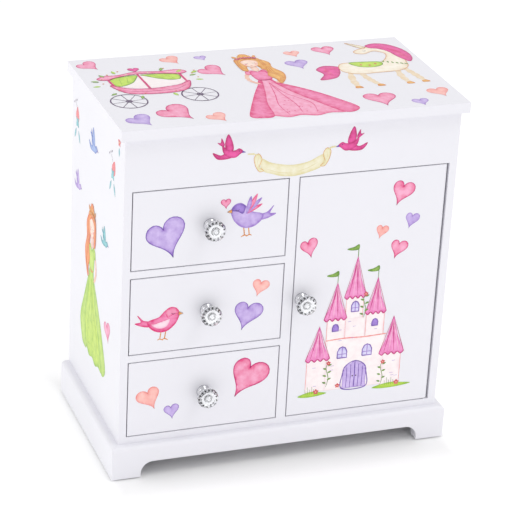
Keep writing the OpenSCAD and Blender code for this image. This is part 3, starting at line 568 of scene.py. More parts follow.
def gown_figure(p, x, y, size, face, gown, hair, trim, sway=0.0, hair_side=1):
    """A calm young woman in a long gown, her hair loose under a wreath. y is at her waist."""
    at = lambda points: placed(points, x, y, size, face)
    hem = [(-33, -62), (-26, -66), (-17, -64), (-8, -68), (2, -66), (12, -69), (22, -66), (33, -67), (45, -61)]
    hem = [(px * (1 - 0.35 * sway) + 6 * sway, py) for px, py in hem]
    last = hem[-1]
    p.shape(at([(-4, 3), (-9, -8), (-18, -26), (-27, -46)] + hem + [(last[0] * 0.8, -42), (last[0] * 0.5, -22),
        (7, -6), (4, 3)]), gown[0], gown[1], 0.6, rim=2.0, cell=2.2)
    p.shape(at([(-3, 2), (-9, -8), (-18, -26), (-27, -46), hem[0], hem[1], hem[2], (-14, -42), (-8, -20)]),
        gown[1], gown[1], 0.5, rim=3, cell=2.2)
    p.shape(at([(3, 2), (8, -6), (last[0] * 0.5, -22), (last[0] * 0.8, -42), last, hem[-2], (20, -44),
        (9, -20)]), gown[1], gown[1], 0.5, rim=3, cell=2.2)
    for bottom, bend in (((-6, -64), -3), ((4, -63), 2), ((14, -64), 5)):
        p.stroke(at([(0.5, -4), (bend, -26), (bottom[0] + bend * 0.4, -46), bottom]), 0.7, gown[1])
    rng = random.Random(7)
    p.dots(at([(rng.uniform(-8, 16), rng.uniform(-62, -34)) for _ in range(16)]), 0.55, gown[1])
    for hand in (-1, 1):
        arm = [(hand * 5, 19), (hand * 10.5, 11), (hand * 11, 2), (hand * 6.5, -5)]
        p.stroke(at(arm), 3.0, "skin", taper=0.75)
        p.fill(at([(hand * 3, 21), (hand * 8.4, 20), (hand * 9.6, 14), (hand * 5, 14)]), gown[0])
    p.fill(at([(-2, 20), (2, 20), (2.2, 27), (-2.2, 27)]), "skin")
    p.shape(at([(-4.5, 2), (-6.4, 10), (-5.8, 18), (-2.8, 19.6), (0, 17.8), (2.8, 19.6), (5.8, 18), (6.4, 10),
        (4.5, 2)]), gown[1], gown[1], 0.5)
    p.stroke(at([(-4.6, 2.4), (0, 1.2), (4.6, 2.4)]), 1.4, trim)
    at_side = lambda points: at([(px * hair_side, py) for px, py in points])
    p.shape(at_side([(2, 45), (9, 42), (14, 34), (13, 24), (17, 13), (15, 2), (9, -7), (8, 2), (5, 9), (7, 18),
        (4, 28)]), hair, hair, 0.5, rim=1.6)
    for k in (0, 1, 2):
        p.stroke(at_side([(7 + k, 38), (9 + k, 28), (8 + 1.6 * k, 16), (12 + k, 6), (9.4 + k, -3)]), 0.6, hair)
    p.shape(at([(-10, 34), (-8.5, 44), (0, 48.4), (8.5, 44), (10, 34), (9, 24), (5, 22), (4, 29), (-4, 29),
        (-6, 20), (-9.6, 23)]), hair, hair, 0.4, rim=2)
    for k in (-1, 1):
        p.stroke(at([(k * 2, 46), (k * 7, 41), (k * 8.4, 33), (k * 7.4, 25)]), 0.6, hair)
    p.fill(at([(-4, 47), (-2.5, 53), (2.5, 53), (4, 47), (0, 44)]), hair, rim=1.2)
    p.fill(at([(-6, 35), (-5.2, 40.5), (0, 42), (5.2, 40.5), (6, 35), (3.6, 29), (0, 27.2), (-3.6, 29)]),
        "skin", rim=0.8)
    for side in (-1, 1):
        p.stroke(at([(side * 1.3, 35.2), (side * 2.6, 34.5), (side * 3.9, 35.2)]), 0.4, "ink")
        p.dots(at([(side * 3.6, 32.6)]), 0.9, "peach")
    p.stroke(at([(-1.1, 30.9), (0, 30.4), (1.1, 30.9)]), 0.5, "red")
    p.stroke(at([(-5.6, 39.5), (0, 43), (5.6, 39.5)]), 1.6, hair)
    wreath = [-6.4 + 3.2 * k for k in range(5)]
    for px in wreath:
        p.leaf(*at([(px, 46)])[0], 4.6 * size, 90 - 4 * px * face, "gold", 0.28)
    for px in wreath:
        p.flower(*at([(px, 43.6 + 2.4 * cos(px / 5))])[0], 1.9 * size, trim)


# The lid, seen from above with the front edge at the bottom.
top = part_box("lid_panel")[1].z
lid = Print("lid_print", "lid", (0, 0, top), (1, 0, 0), (0, 1, 0))
for x, y, size, ink, turn, lean in ((-113, 52, 16, "rose", 34, 0.12), (-53, 52, 15, "peach", 26, 0.1),
        (-30, 52, 9, "lilac", 10, -0.1), (-31, 25, 20, "rose", 36, 0.12), (-80, -46, 26, "rose", 36, 0.15),
        (-107, -54, 19, "lilac", 30, 0.15), (-55, -59, 15, "peach", 26, 0.1), (37, 47, 12, "peach", 6, 0.0),
        (33, 26, 17, "lilac", 6, 0.05), (62, 49, 17, "rose", 4, 0.0), (66, -50, 23, "rose", -2, 0.0),
        (91, -61, 12, "lilac", 2, 0.0), (111, -46, 16, "peach", 8, 0.0)):
    lid.heart(x, y, size, ink, turn, lean, line="magenta" if ink == "rose" else None)

# A carriage: body with a round roof, curtained windows, and two spoked wheels.
for cx, cy, r in ((-104, -19, 12.5), (-53, -16, 12.5)):
    for k in range(8):
        a = radians(45 * k + 10)
        lid.stroke([(cx, cy), (cx + r * cos(a), cy + r * sin(a))], 0.6, "ink", smooth=False, taper=0.9)
    for ring in (r, r * 0.16):
        lid.stroke([(cx + ring * cos(a), cy + ring * sin(a)) for a in around(28)], 0.9, "ink", closed=True,
            smooth=False)
lid.fill([(-105, 10), (-106, 22), (-84, 29), (-56, 26), (-55, 9), (-82, 2)], "wall", rim=0.7)
lid.shape([(-105, 23), (-86, 28), (-88, 20), (-93, 13), (-101, 9), (-105, 11)], "green", "leaf", 0.7)
lid.shape([(-81, 28), (-58, 25), (-57, 16), (-64, 15), (-72, 19), (-78, 24)], "green", "leaf", 0.7)
for fold in (((-99, 22), (-100, 12)), ((-93, 24), (-95, 14)), ((-74, 26), (-68, 18)), ((-66, 25), (-61, 17))):
    lid.stroke(fold, 0.5, "leaf", smooth=False)
lid.shape([(-108, 12), (-105, 2), (-98, -6), (-81, -9), (-65, -8), (-56, -2), (-52, 11), (-60, 5), (-72, 2),
    (-84, 1), (-98, 4)], "rose", "magenta", 0.8, rim=2)
lid.stroke([(-103, 1), (-92, -3), (-80, -4), (-66, -3), (-57, 3)], 0.8, "magenta")
for post in (((-107, 24), (-106, 10)), ((-84, 30), (-83, 2)), ((-55, 27), (-54, 8))):
    for width, ink in ((1.9, "pink"), (0.6, "magenta")):
        lid.stroke(post, width, ink, smooth=False, taper=0.9)
lid.shape([(-114, 25), (-108, 30), (-98, 30), (-84, 34), (-68, 32), (-54, 33), (-49, 28), (-55, 25), (-68, 28),
    (-84, 30), (-100, 26), (-108, 22)], "rose", "magenta", 0.7)
lid.dots([(-104, 27.5), (-92, 30), (-76, 31), (-62, 30)], 0.7, "cream")
lid.heart(-84, 38, 8, "magenta")
for k, (x, y, turn) in enumerate(((-108, 28, 120), (-99, 33, 100), (-66, 33, 70), (-56, 28, 40), (-49, 20, 20),
        (-47, 12, -10), (-114, 20, 160), (-115, 12, 185), (-108, -3, 215), (-46, 25, 30), (-92, -11, 250),
        (-70, -10, 290))):
    lid.leaf(x, y, 5.5, turn, "green" if k % 2 else "leaf")
    lid.dots([(x + 3, y + 4)], 0.7, "gold")

gown_figure(lid, 0, -1, 1.0, 1, ("rose", "pink"), "gold", "magenta")

# A pony with one horn, its head turned back.
lid.shape([(60, 14), (50, 18), (42, 12), (44, 2), (38, -8), (50, -6), (56, 2), (58, 8)], "magenta", "magenta",
    0.5)
for k in range(3):
    lid.stroke([(58, 12), (49 - k, 13 - 2 * k), (48 + k, 4), (43 + 3 * k, -6)], 0.7, "rose")
for foot, knee, hip in (((59, -27), (60, -13), (64, 3)), ((76, -26), (72, -12), (71, 0)),
        ((98, -26), (97, -13), (99, 2)), ((110, -25), (108, -12), (105, 4))):
    lid.stroke([hip, knee, foot], 5.0, "hide", taper=0.62)
    lid.stroke([hip, knee, foot], 4.4, "hide", taper=0.6)
    lid.fill(placed([(-2.4, -1), (-1.6, 2.4), (1.8, 2.4), (3, -1)], *foot), "gold")
lid.shape([(59, 12), (64, 20), (76, 20), (90, 17), (98, 22), (103, 33), (97, 40), (88, 36), (82, 38), (83, 43),
    (92, 48), (101, 50), (110, 44), (114, 32), (112, 16), (109, 5), (100, -1), (84, -2), (68, -2), (60, 4)],
    "hide", "gold", 0.45, rim=1.6)
lid.shape([(95, 52), (103, 55), (112, 51), (119, 39), (120, 25), (115, 15), (110, 25), (107, 37), (102, 44),
    (96, 47)], "magenta", "magenta", 0.5)
for k in range(4):
    lid.stroke([(98 + 2 * k, 51 - k), (108 + 2 * k, 44 - 2 * k), (112 + k, 33), (114 + k, 22)], 0.7, "rose")
lid.shape([(90, 47), (82, 60), (93, 50)], "cream", "gold", 0.5, smooth=False)
lid.stroke([(88.5, 42), (90, 41.2), (91.6, 42)], 0.5, "ink")
lid.shape([(70, 20.5), (74, 12), (84, 9), (92, 12), (93, 18), (84, 20)], "green", "leaf", 0.5)
lid.dots([(77, 15), (83, 13), (88, 15)], 1.0, "red")
for k in range(6):
    lid.leaf(96 + 2.6 * k, 20 - 1.6 * k, 3.4, 250 + 12 * k, "leaf")
lid.done()

def upright_print(name, body, node):
    """A print on the front face of a CAD node."""
    return Print(name, body, (0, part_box(node)[0].y, 0), (1, 0, 0), (0, 0, 1))


# The apron: two birds that hold a blank ribbon.
apron = upright_print("apron_print", "cabinet", "front_apron")
apron.shape([(-25, 232), (-18, 228.6), (-8, 226.2), (0, 225.6), (10, 227.2), (20, 231.4), (19, 223.4),
    (10, 219.6), (0, 217.8), (-9, 218.4), (-17, 220.8), (-24, 224)], "cream", "cream", 0.5, rim=1.6)
for x, side in ((-23, -1), (18, 1)):
    at = lambda points: placed(points, x, 0, face=side)
    apron.shape(at([(0, 223.5), (3, 226.5), (1.5, 232), (4, 236), (7, 233.6), (6, 227.5), (3, 223)]), "cream",
        "gold", 0.3)
    apron.stroke(at([(2, 225), (4.4, 229), (4, 234)]), 0.5, "cream")
    apron.stroke(at([(4.5, 235), (8, 236.2), (12, 236.4)]), 1.2, "cream")
apron.stroke([(-21, 224.5), (-12, 221.2), (-2, 219.8)], 0.5, "cream")
apron.stroke([(16, 226), (9, 222.6), (3, 221)], 0.5, "cream")
for x, y, face in ((-48, 238.5, 1), (40, 236.5, -1)):
    flying_bird(apron, x, y, 0.95, face, "magenta")
apron.done()

for level in levels:
    art = upright_print(f"drawer_print_{level}", "drawer_" + level, "drawer_front_" + level)
    if level == "top":
        art.heart(-90, 181, 28, "lilac", 20, 0.08, line="violet")
        standing_bird(art, -33, 192, 0.86, -1, "lilac", "violet", wing=("rose", "lilac"))
        art.heart(-48.6, 202, 7, "rose", 4, line="magenta")
    elif level == "middle":
        standing_bird(art, -90, 119.5, 0.84, 1, "pink", "rose")
        art.heart(-30, 116.5, 21, "lilac", -14, 0.1, line="violet")
        art.heart(-21, 136.5, 12.5, "peach", -16, 0.05)
    else:
        art.heart(-98, 60, 17, "peach", 22, -0.08)
        art.heart(-82, 47.5, 11, "lilac", 8, 0.05, line="violet")
        art.heart(-28, 68, 30, "rose", -26, 0.14, 0.92, line="magenta")
    art.done()


# The door: a small castle of plain towers, with hearts above.
door = upright_print("door_print", "door", "door_panel")


def tower(x, foot, eaves, half):
    door.fill([(x - half, foot), (x - half, eaves + 1), (x + half, eaves + 1), (x + half, foot)], "wall",
        rim=1.4, smooth=False)
    for wall in (x - half, x + half):
        door.stroke([(wall, foot), (wall, (foot + eaves) / 2), (wall, eaves)], 0.4, "peach")


def roof(x, eaves, tip, half, flag):
    if flag:
        door.stroke([(x, tip - 1), (x, tip + 9)], 0.5, "leaf", smooth=False, taper=1)
        door.shape(placed([(0, 9), (-3.5, 7.4), (-8.5, 6.2), (-5, 5), (0, 5.4)], x, tip), "leaf", "leaf", 0.3)
    lobes = 4
    hem = [(x - half + 2 * half * (k + t) / lobes, eaves - (1.8 if t else 0)) for k in range(lobes)
        for t in (0.0, 0.5)]
    middle = (eaves + tip) / 2
    door.fill([(x, tip), (x - half * 0.45, middle - 2)] + hem + [(x + half, eaves),
        (x + half * 0.45, middle - 2)], "orchid", rim=1.6, smooth=False,
        tone=lambda px, py: 0.4 * (py - eaves) / (tip - eaves) - 0.1)
    for k in (-0.6, -0.2, 0.2, 0.6):
        door.stroke([(x, tip - 4), (x + half * k * 0.45, middle), (x + half * k, eaves + 1)], 0.6,
            "pale" if k in (-0.2, 0.6) else "magenta")
    door.stroke(hem + [(x + half, eaves)], 0.7, "magenta", taper=1)
    door.stroke([(x - half, eaves), (x, tip), (x + half, eaves)], 0.5, "magenta", smooth=False, taper=1)


def window(x, y, w, h, barred):
    arch = placed([(-w, 0), (-w, h), (-w * 0.6, h + w * 0.8), (0, h + w * 1.1), (w * 0.6, h + w * 0.8), (w, h),
        (w, 0)], x, y)
    door.fill(arch, "pane" if barred else "violet", rim=0.5, cell=0.8, smooth=False)
    door.stroke(arch, 0.8, "violet", closed=True, smooth=False)
    if barred:
        for bar in ([(x, y), (x, y + h + w)], [(x - w, y + h * 0.6), (x + w, y + h * 0.6)]):
            door.stroke(bar, 0.6, "lilac", smooth=False, taper=1)


for x, y, size, ink, turn in ((80, 198, 18, "rose", -18), (89, 176, 11.5, "lilac", -14),
        (67, 169.5, 10, "peach", -14), (80.5, 155, 14, "rose", -16), (13.5, 162.5, 14, "rose", 16)):
    door.heart(x, y, size, ink, turn, 0.1, 0.92, "magenta" if ink == "rose" else None)
for part in ((51, 86, 121, 6.5), (38, 84, 106, 7), (67.5, 84, 108, 7), (25, 48, 75, 7.5), (82, 47, 74, 7.5)):
    tower(*part)
door.fill([(32, 48), (32, 88), (76, 88), (76, 48)], "wall", rim=2.2, smooth=False)
door.fill([(45, 88), (45, 104), (60, 104), (60, 88)], "wall", rim=1.6, smooth=False)
door.stroke([(31, 88), (45, 88.6), (60, 88), (77, 88.6)], 0.9, "peach", taper=0.8)
for part in ((51, 121, 152, 8.2, True), (37, 105, 133, 8.6, True), (67.5, 107, 134, 8, True),
        (25.5, 74, 100, 9.2, False), (82, 73, 102, 9.6, False)):
    roof(*part)
for part in ((51.5, 109, 2.8, 5, True), (37.5, 95, 2.3, 3, False), (67.5, 96, 2.3, 3, False),
        (44, 73, 3.6, 5, True), (63, 73, 3.6, 5, True)):
    window(*part)
door.shape([(45.5, 48), (45.5, 60), (47.5, 66), (54.5, 69.5), (61.5, 66), (63.5, 60), (63.5, 48)], "lilac",
    "violet", 0.8, smooth=False)
for x in (48.5, 51.5, 54.5, 57.5, 60.5):
    door.stroke([(x, 48.4), (x + 0.2, 57), (x, 68.5 - abs(x - 54.5) * 0.6)], 0.8 if x == 54.5 else 0.5,
        "violet", taper=0.9)
door.dots([(53.2, 57.5), (55.8, 57.5)], 0.6, "ink")
rng = random.Random(3)
for _ in range(16):
    x, y = rng.choice(((25, 60), (82, 60), (40, 92), (65, 92), (51, 96), (36, 62)))
    bx, by = x + rng.uniform(-4.5, 4.5), y + rng.uniform(-8, 8)
    door.stroke([(bx, by), (bx + 2.6, by + 0.1)], 0.7, "lilac", smooth=False)
for x, y in ((33, 66), (75, 62), (58, 118)):
    door.stroke([(x, y - 15), (x + 1.5, y - 8), (x - 0.5, y), (x + 1, y + 4)], 0.5, "leaf")
    for k in range(6):
        door.leaf(x + (0.8 if k % 2 else 0), y - 12 + 2.8 * k, 3, 20 if k % 2 else 160, "leaf")
    door.flower(x + 1, y + 4, 1.8)
for x, w in ((23, 11), (84, 15)):
    door.fill([(x - w, 45.5), (x - w * 0.5, 47.6), (x, 48.4), (x + w * 0.5, 47.4), (x + w, 46),
        (x + w * 0.3, 44.4), (x - w * 0.5, 44.2)], "green", rim=1.2)
    for k in range(5):
        door.stroke([(x - 5 + k * 1.6, 46.5), (x - 5.6 + k * 1.7, 50.5 + (k % 2) * 2)], 0.5, "leaf",
            smooth=False, taper=0.5)
    door.flower(x + w * 0.25, 48, 2.2)
door.flower(42, 51, 2)
door.done()

# The sides: flowers, birds, a heart and a figure in a green gown.
for side, name in ((-1, "left"), (1, "right")):
    face_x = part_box("side_panel_" + name)[side > 0].x
    art = Print(f"side_print_{name}", "cabinet", (face_x, 0, 0), (0, side, 0), (0, 0, 1))
    mirror = lambda v: -side * v
    gown_figure(art, mirror(-9), 124, 0.98, -side, ("green", "lime"), "orange", "gold", sway=0.6, hair_side=-1)
    for x, y, turn in ((-51, 225, 90), (38, 222, 70)):
        art.leaf(mirror(x), y - 5, 13, mirror(turn) if side < 0 else 180 - turn, "red", 0.3)
        for k in (-1, 1):
            art.leaf(mirror(x + 3 * k), y - 7, 9, 90 + 40 * k, "teal")
            art.leaf(mirror(x + 3 * k), y - 9, 9, -90 + 25 * k, "teal", 0.14)
        art.stroke([(mirror(x - 4), y + 10), (mirror(x), y + 5)], 0.5, "ink")
        art.dots([(mirror(x - 5), y + 11), (mirror(x - 2), y + 12.5), (mirror(x - 8), y + 9)], 0.8, "ink")
    for x, y, size, ink in ((-9, 220, 0.95, "blue"), (-47, 176, 0.8, "lilac"), (22, 162, 0.8, "teal")):
        flying_bird(art, mirror(x), y, size, -side, ink)
    art.heart(mirror(33), 98, 15, "rose", mirror(18), line="magenta")
    art.leaf(mirror(52), 243, 6, -90, "teal")
    art.flower(mirror(52), 247, 3.2)
    art.done()


# ------------------------------------------------------------------ crystal knobs

glass = Shader("cut_crystal").set(Transmission_Weight=1.0, IOR=1.49, Roughness=0.01,
    Base_Color=(0.98, 0.99, 1.0, 1))
glass.bump(glass.noise(400, 2), 0.00001, 0.1)
glass = glass.material
ferrule = metal("bright_nickel", (0.80, 0.80, 0.82), 0.12, 0.22)
bright_foil = metal("bright_foil", (0.97, 0.97, 0.98), 0.1, 0.2)
# Painted facet shade: a dark foil that stands in for the dark reflections seen in the cut crystal.
foil_painted_facet_shade = metal("foil_painted_facet_shade", (0.26, 0.26, 0.28), 0.1, 0.2)
facets = 14
foil_steps = 6  # points on the foil for each facet
foil_t = 0.25


def ring(bm, r, out, angles):
    """A ring of points round the knob's axis, out from the face it is screwed to."""
    return [bm.verts.new(Vector((r * cos(a), -out, r * sin(a))) * MM) for a in angles]


def knob(name, body, centre, node):
    """Metal ferrule and a crystal head, cut in facets and foiled behind. centre is on the face that it is
    screwed to."""
    crystal, bm = bmesh.new(), bmesh.new()
    straight, between = around(facets), around(facets, 0.5)
    back = [ring(crystal, r, out, straight) for r, out in ((3.4, 3.0), (7.4, 9.4), (7.5, 10.9))]
    front = [ring(crystal, 6.3, 13.6, between), ring(crystal, 3.1, 15.9, straight)]
    bridge(crystal, back, ends=False)
    for low, high, turned in ((back[2], front[0], 0), (front[0], front[1], 1)):
        for k in range(facets):
            n = (k + 1) % facets
            crystal.faces.new((low[k], low[n], high[n if turned else k]))
            crystal.faces.new((low[k], high[n], high[k]) if turned else (low[n], high[n], high[k]))
    crystal.faces.new(back[0][::-1])
    crystal.faces.new(front[1])

    # The dark wedges of foil are painted facet shade, standing in for the dark reflections seen through the
    # crystal.
    # Rings of foil, each (inner, outer, depth, dark share of a facet, shift by a share of a facet).
    for inner, outer, depth, painted_shade_share, shift in ((5.4, 7.0, 9.8, 0, 0), (4.2, 5.4, 10.1, 0.42, 0),
            (2.2, 4.2, 10.4, 0, 0), (1.2, 2.2, 10.8, 0.5, 0.5), (0.1, 1.2, 11.0, 0, 0)):
        a, b, c, d = (ring(bm, r, out, around(foil_steps * facets)) for r, out in ((inner, depth),
            (outer, depth), (outer, depth - foil_t), (inner, depth - foil_t)))
        for k in range(foil_steps * facets):
            n = (k + 1) % (foil_steps * facets)
            dark = ((k / foil_steps + shift) % 1.0) < painted_shade_share
            for low, high in ((a, b), (b, c), (c, d), (d, a)):
                bm.faces.new((low[k], low[n], high[n], high[k])).material_index = 2 if dark else 1
    ferrule_rings = [ring(bm, r, out, around(32)) for r, out in ((4.0, 0), (4.9, 0.02), (4.9, 0.9), (4.4, 1.5),
        (3.7, 2.0), (3.7, 2.9), (2.2, 3.0))]
    for face in bridge(bm, ferrule_rings)[:-2]:
        face.smooth = True
    for part in (crystal, bm):
        bmesh.ops.recalc_face_normals(part, faces=part.faces)
        bmesh.ops.translate(part, verts=part.verts, vec=centre)
    make(name + "_mount", bm, [ferrule, bright_foil, foil_painted_facet_shade], body, smooth=False)
    head = make(name, crystal, [glass], body, smooth=False, replaced=[node])
    head.visible_shadow = head.visible_diffuse = False


for place, body, node in [(n, "drawer_" + n, "drawer_knob_" + n) for n in levels] + [("door", "door",
        "door_knob")]:
    low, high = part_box(node)
    knob("crystal_knob_" + place, body, Vector(((low.x + high.x) / 2, high.y, (low.z + high.z) / 2)), node)


# ------------------------------------------------------------------ ring rolls

cloth_frames = 20


def swollen(piece, voxel, pressure, cap, pinned):
    """Blows a closed piece up as cloth, keeps each point within cap of where it was and a pinned point from
    sinking, and subdivides it once."""
    materials = list(piece.data.materials)
    evaluated = lambda: piece.evaluated_get(bpy.context.evaluated_depsgraph_get())
    remesh = piece.modifiers.new("remesh", "REMESH")
    remesh.mode = "VOXEL"
    remesh.voxel_size = voxel
    cloth = piece.modifiers.new("cloth", "CLOTH")
    cloth.settings.quality = 6
    cloth.settings.mass = 0.02
    cloth.settings.use_pressure = True
    cloth.settings.uniform_pressure_force = pressure
    cloth.settings.tension_stiffness = cloth.settings.compression_stiffness = 12
    cloth.settings.bending_stiffness = 0.3
    cloth.settings.effector_weights.gravity = 0
    cloth.collision_settings.use_collision = False
    scene = bpy.context.scene
    bpy.context.view_layer.update()
    cloth.show_viewport = False
    flat = bpy.data.meshes.new_from_object(evaluated())
    piece.modifiers.remove(remesh)
    piece.data = flat
    start = [v.co.copy() for v in flat.vertices]
    cloth.show_viewport = True
    cloth.point_cache.frame_end = cloth_frames
    for step in range(cloth_frames):
        scene.frame_set(step + 1)
    moved = evaluated().to_mesh()
    for v, was, now in zip(flat.vertices, start, [m.co.copy() for m in moved.vertices]):
        shift = now - was
        if pinned(was):
            shift.z = max(shift.z, 0.0)
        v.co = was + shift * min(1.0, cap / max(shift.length, 1e-9))
    scene.frame_set(1)
    piece.modifiers.remove(cloth)
    bm = bmesh.new()
    bm.from_mesh(piece.data)
    bmesh.ops.smooth_vert(bm, verts=bm.verts, factor=0.5, use_axis_x=True, use_axis_y=True, use_axis_z=True)
    bmesh.ops.subdivide_edges(bm, edges=bm.edges, cuts=1, use_grid_fill=True, smooth=1.0)
    bm.to_mesh(piece.data)
    bm.free()
    piece.data.materials.clear()
    for material in materials:
        piece.data.materials.append(material)
    piece.data.polygons.foreach_set("use_smooth", [True] * len(piece.data.polygons))


low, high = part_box("ring_rolls")
roll_count, across = 5, 26
ring_steps = 7 * roll_count
end_gap, side_gap, bottom_gap = 0.0012, 0.0008, 0.0004
groove, top_gap = 0.0035, 0.0013  # the grooves' height above the box's underside, and the crests' below its top
end_round = 0.005
bm = bmesh.new()
profiles = []
for i in range(across + 1):
    share = i / across
    x = low.x + end_gap + (high.x - low.x - 2 * end_gap) * share
    end = min(share, 1 - share) * (high.x - low.x)
    crown = sqrt(max(0.0, 1 - max(0.0, 1 - end / end_round) ** 2))
    row = []
    for k in range(ring_steps + 1):
        lobe = abs(sin(pi * (k / ring_steps * roll_count))) ** 0.55
        y = low.y + side_gap + (high.y - low.y - 2 * side_gap) * k / ring_steps
        z = low.z + groove + (high.z - low.z - (groove + top_gap)) * lobe * (0.25 + 0.75 * crown)
        row.append((y, z))
    row += [(row[-1][0], low.z + bottom_gap), (row[0][0], low.z + bottom_gap)]
    profiles.append([bm.verts.new((x, y, z)) for y, z in row])
bridge(bm, profiles)
bmesh.ops.recalc_face_normals(bm, faces=bm.faces)
rolls = make("plush_ring_rolls", bm, plush, None)
swollen(rolls, voxel=0.0017, pressure=1.2, cap=0.0007, pinned=lambda p: p.z < low.z + 0.0015)
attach(rolls, "cabinet")
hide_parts("ring_rolls")


# ------------------------------------------------------------------ dancer

skin = skin_paint("painted_skin", (0.95, 0.76, 0.68), (0.98, 0.84, 0.77))
hair_paint = skin_paint("painted_hair", (0.36, 0.20, 0.10), (0.50, 0.30, 0.16), 0.4, 2600)
lips = skin_paint("painted_lips", (0.80, 0.28, 0.36), (0.86, 0.36, 0.44))
lash = skin_paint("painted_lashes", (0.12, 0.08, 0.08), (0.20, 0.13, 0.12))
bodice = satin_cloth("bodice_satin", (0.90, 0.44, 0.66), (0.96, 0.60, 0.78))
stocking = skin_paint("painted_stockings", (0.96, 0.80, 0.82), (0.99, 0.88, 0.88))
tulle = satin_cloth("tutu_tulle", (0.96, 0.66, 0.80), (1.0, 0.84, 0.92), 5200)
tulle.node_tree.nodes["Principled BSDF"].inputs["Alpha"].default_value = 0.86

# She is drawn upright, in millimetres from her waist, and then folded down about the spring's bend.
waist_high = 22
fold = Matrix.Translation(Vector((54, 18, 225.5)) * MM) @ Matrix.Rotation(radians(65), 4, "X")


def at(x, y, z):
    return Vector((x, y, z + waist_high)) * MM


def lathed(profile, slot, squash=1.0):
    """A turned form through (radius, height) points, flattened from front to back by squash."""
    rings = [[bm.verts.new(at(r * cos(a), r * squash * sin(a), z)) for a in around(28)] for r, z in profile]
    bridge(bm, rings, slot)


def oval(centre, size, slot, u=28, v=18):
    made = bmesh.ops.create_uvsphere(bm, u_segments=u, v_segments=v, radius=MM)
    for vert in made["verts"]:
        vert.co = vert.co * Vector(size) + at(*centre)
        for face in vert.link_faces:
            face.material_index = slot


def limb(points, slot, sides=16, side=1):
    """A limb through (x, y, z, radius) points, rounded at its ends, and mirrored where side is -1."""
    path = smooth_path([(x * side, *rest) for x, *rest in points], steps=6)
    tube(bm, [at(*p[:3]) for p in path], [max(p[3], 0.05) * MM for p in path], sides, slot)
    for p in (path[0], path[-1]):
        oval(p[:3], [p[3]] * 3, slot, 14, 8)


# Material slots of the figure
bare, dress, tights, hair, dark, red = range(6)
bm = bmesh.new()
lathed([(0.1, -14.8), (2.3, -14.8), (2.4, -14.5), (2.4, -13.9), (2.2, -13.6), (0.6, -13.5)], dress)
limb([(0, 0, -14.1, 0.5), (0, 0, -12.4, 0.62), (-0.2, 0.1, -9.5, 0.84), (-0.34, 0.15, -7.4, 0.72),
    (-0.45, 0.1, -4.5, 1.0), (-0.8, 0, -0.4, 1.25)], tights)
limb([(0.8, 0, -0.4, 1.2), (1.6, -0.45, -4.5, 1.0), (2.3, -0.75, -7.8, 0.76), (1.9, -0.5, -6.8, 0.66),
    (1.0, -0.2, -5.8, 0.5), (0.3, 0.0, -5.4, 0.34)], tights)
lathed([(0.2, -1.7), (1.7, -1.5), (2.15, -0.4), (1.8, 1), (1.5, 2.2), (1.75, 3.6), (2.15, 5.2), (2.0, 5.9),
    (1.5, 6.1)], dress, squash=0.82)
lathed([(1.6, 5.6), (1.95, 6.2), (1.4, 6.9), (0.75, 7.4), (0.62, 8.4), (0.66, 9.4)], bare, squash=0.8)
for side in (-1, 1):
    limb([(1.55, 0, 6.1, 0.72), (3.5, -0.35, 8.8, 0.6), (4.6, -0.6, 11.6, 0.54), (4.1, -0.8, 14.6, 0.48),
        (2.5, -0.9, 17.4, 0.42), (1.4, -1.0, 20.4, 0.34), (0.9, -1.05, 22.3, 0.22)], bare, side=side)
    limb([(1.9, 0, 6.4, 0.62), (0.9, -1.2, 5.4, 0.3)], dress, side=side)
oval((0, 0.05, 10.9), (1.85, 2.0, 2.3), bare)
oval((0, -1.9, 10.7), (0.24, 0.3, 0.34), bare, 10, 8)
oval((0, 0.55, 11.5), (2.05, 2.0, 2.05), hair)
oval((0, 1.5, 13.2), (1.15, 1.05, 1.0), hair)
for side in (-1, 1):
    limb([(0, -1.15, 12.9, 0.3), (1.2, -0.95, 12.2, 0.45), (1.85, 0, 11.2, 0.4)], hair, 10, side)
    limb([(0.35, -1.86, 11.15, 0.05), (0.7, -1.88, 11.0, 0.09), (1.1, -1.66, 11.12, 0.05)], dark, 8, side)
    limb([(0.35, -1.84, 11.7, 0.04), (0.75, -1.78, 11.85, 0.07), (1.15, -1.6, 11.65, 0.04)], hair, 8, side)
limb([(-0.34, -1.84, 9.95, 0.05), (0, -1.94, 9.88, 0.13), (0.34, -1.84, 9.95, 0.05)], red, 8)
for a in around(9):
    oval((1.05 * cos(a), 1.3 + 1.0 * sin(a), 12.75), (0.32, 0.32, 0.28), dress, 8, 6)
bmesh.ops.transform(bm, matrix=fold, verts=bm.verts)
bmesh.ops.recalc_face_normals(bm, faces=bm.faces)
make("dancer_figure", bm, [skin, bodice, stocking, hair_paint, lash, lips], "dancer", replaced=["ballerina"])

# The tutu: layers of tulle, each cut as a disc whose hole is gathered in to the waist.
layers = 4
waist_r, flounce = 1.9, 8.2  # radius at the waist, and reach from there
tulle_rings, tulle_sides = 7, 150
bm = bmesh.new()
for layer in range(layers):
    folds = 15 + 2 * layer
    rings = []
    for j in range(tulle_rings):
        t = j / (tulle_rings - 1)
        r = waist_r + flounce * t * (1 - 0.06 * layer)
        rings.append([])
        for a in around(tulle_sides):
            wave = sin(folds * a + layer * 1.3) + 0.35 * sin((folds * 2 + 1) * a + layer)
            droop = 0.35 - 0.75 * layer * t - 1.5 * t * t + 0.62 * wave * t ** 1.3
            rings[-1].append(bm.verts.new(at(r * cos(a), r * sin(a), droop)))
    bridge(bm, rings, ends=False)
bmesh.ops.transform(bm, matrix=fold, verts=bm.verts)
tutu = make("tulle_tutu", bm, tulle, "dancer", replaced=["tutu"])

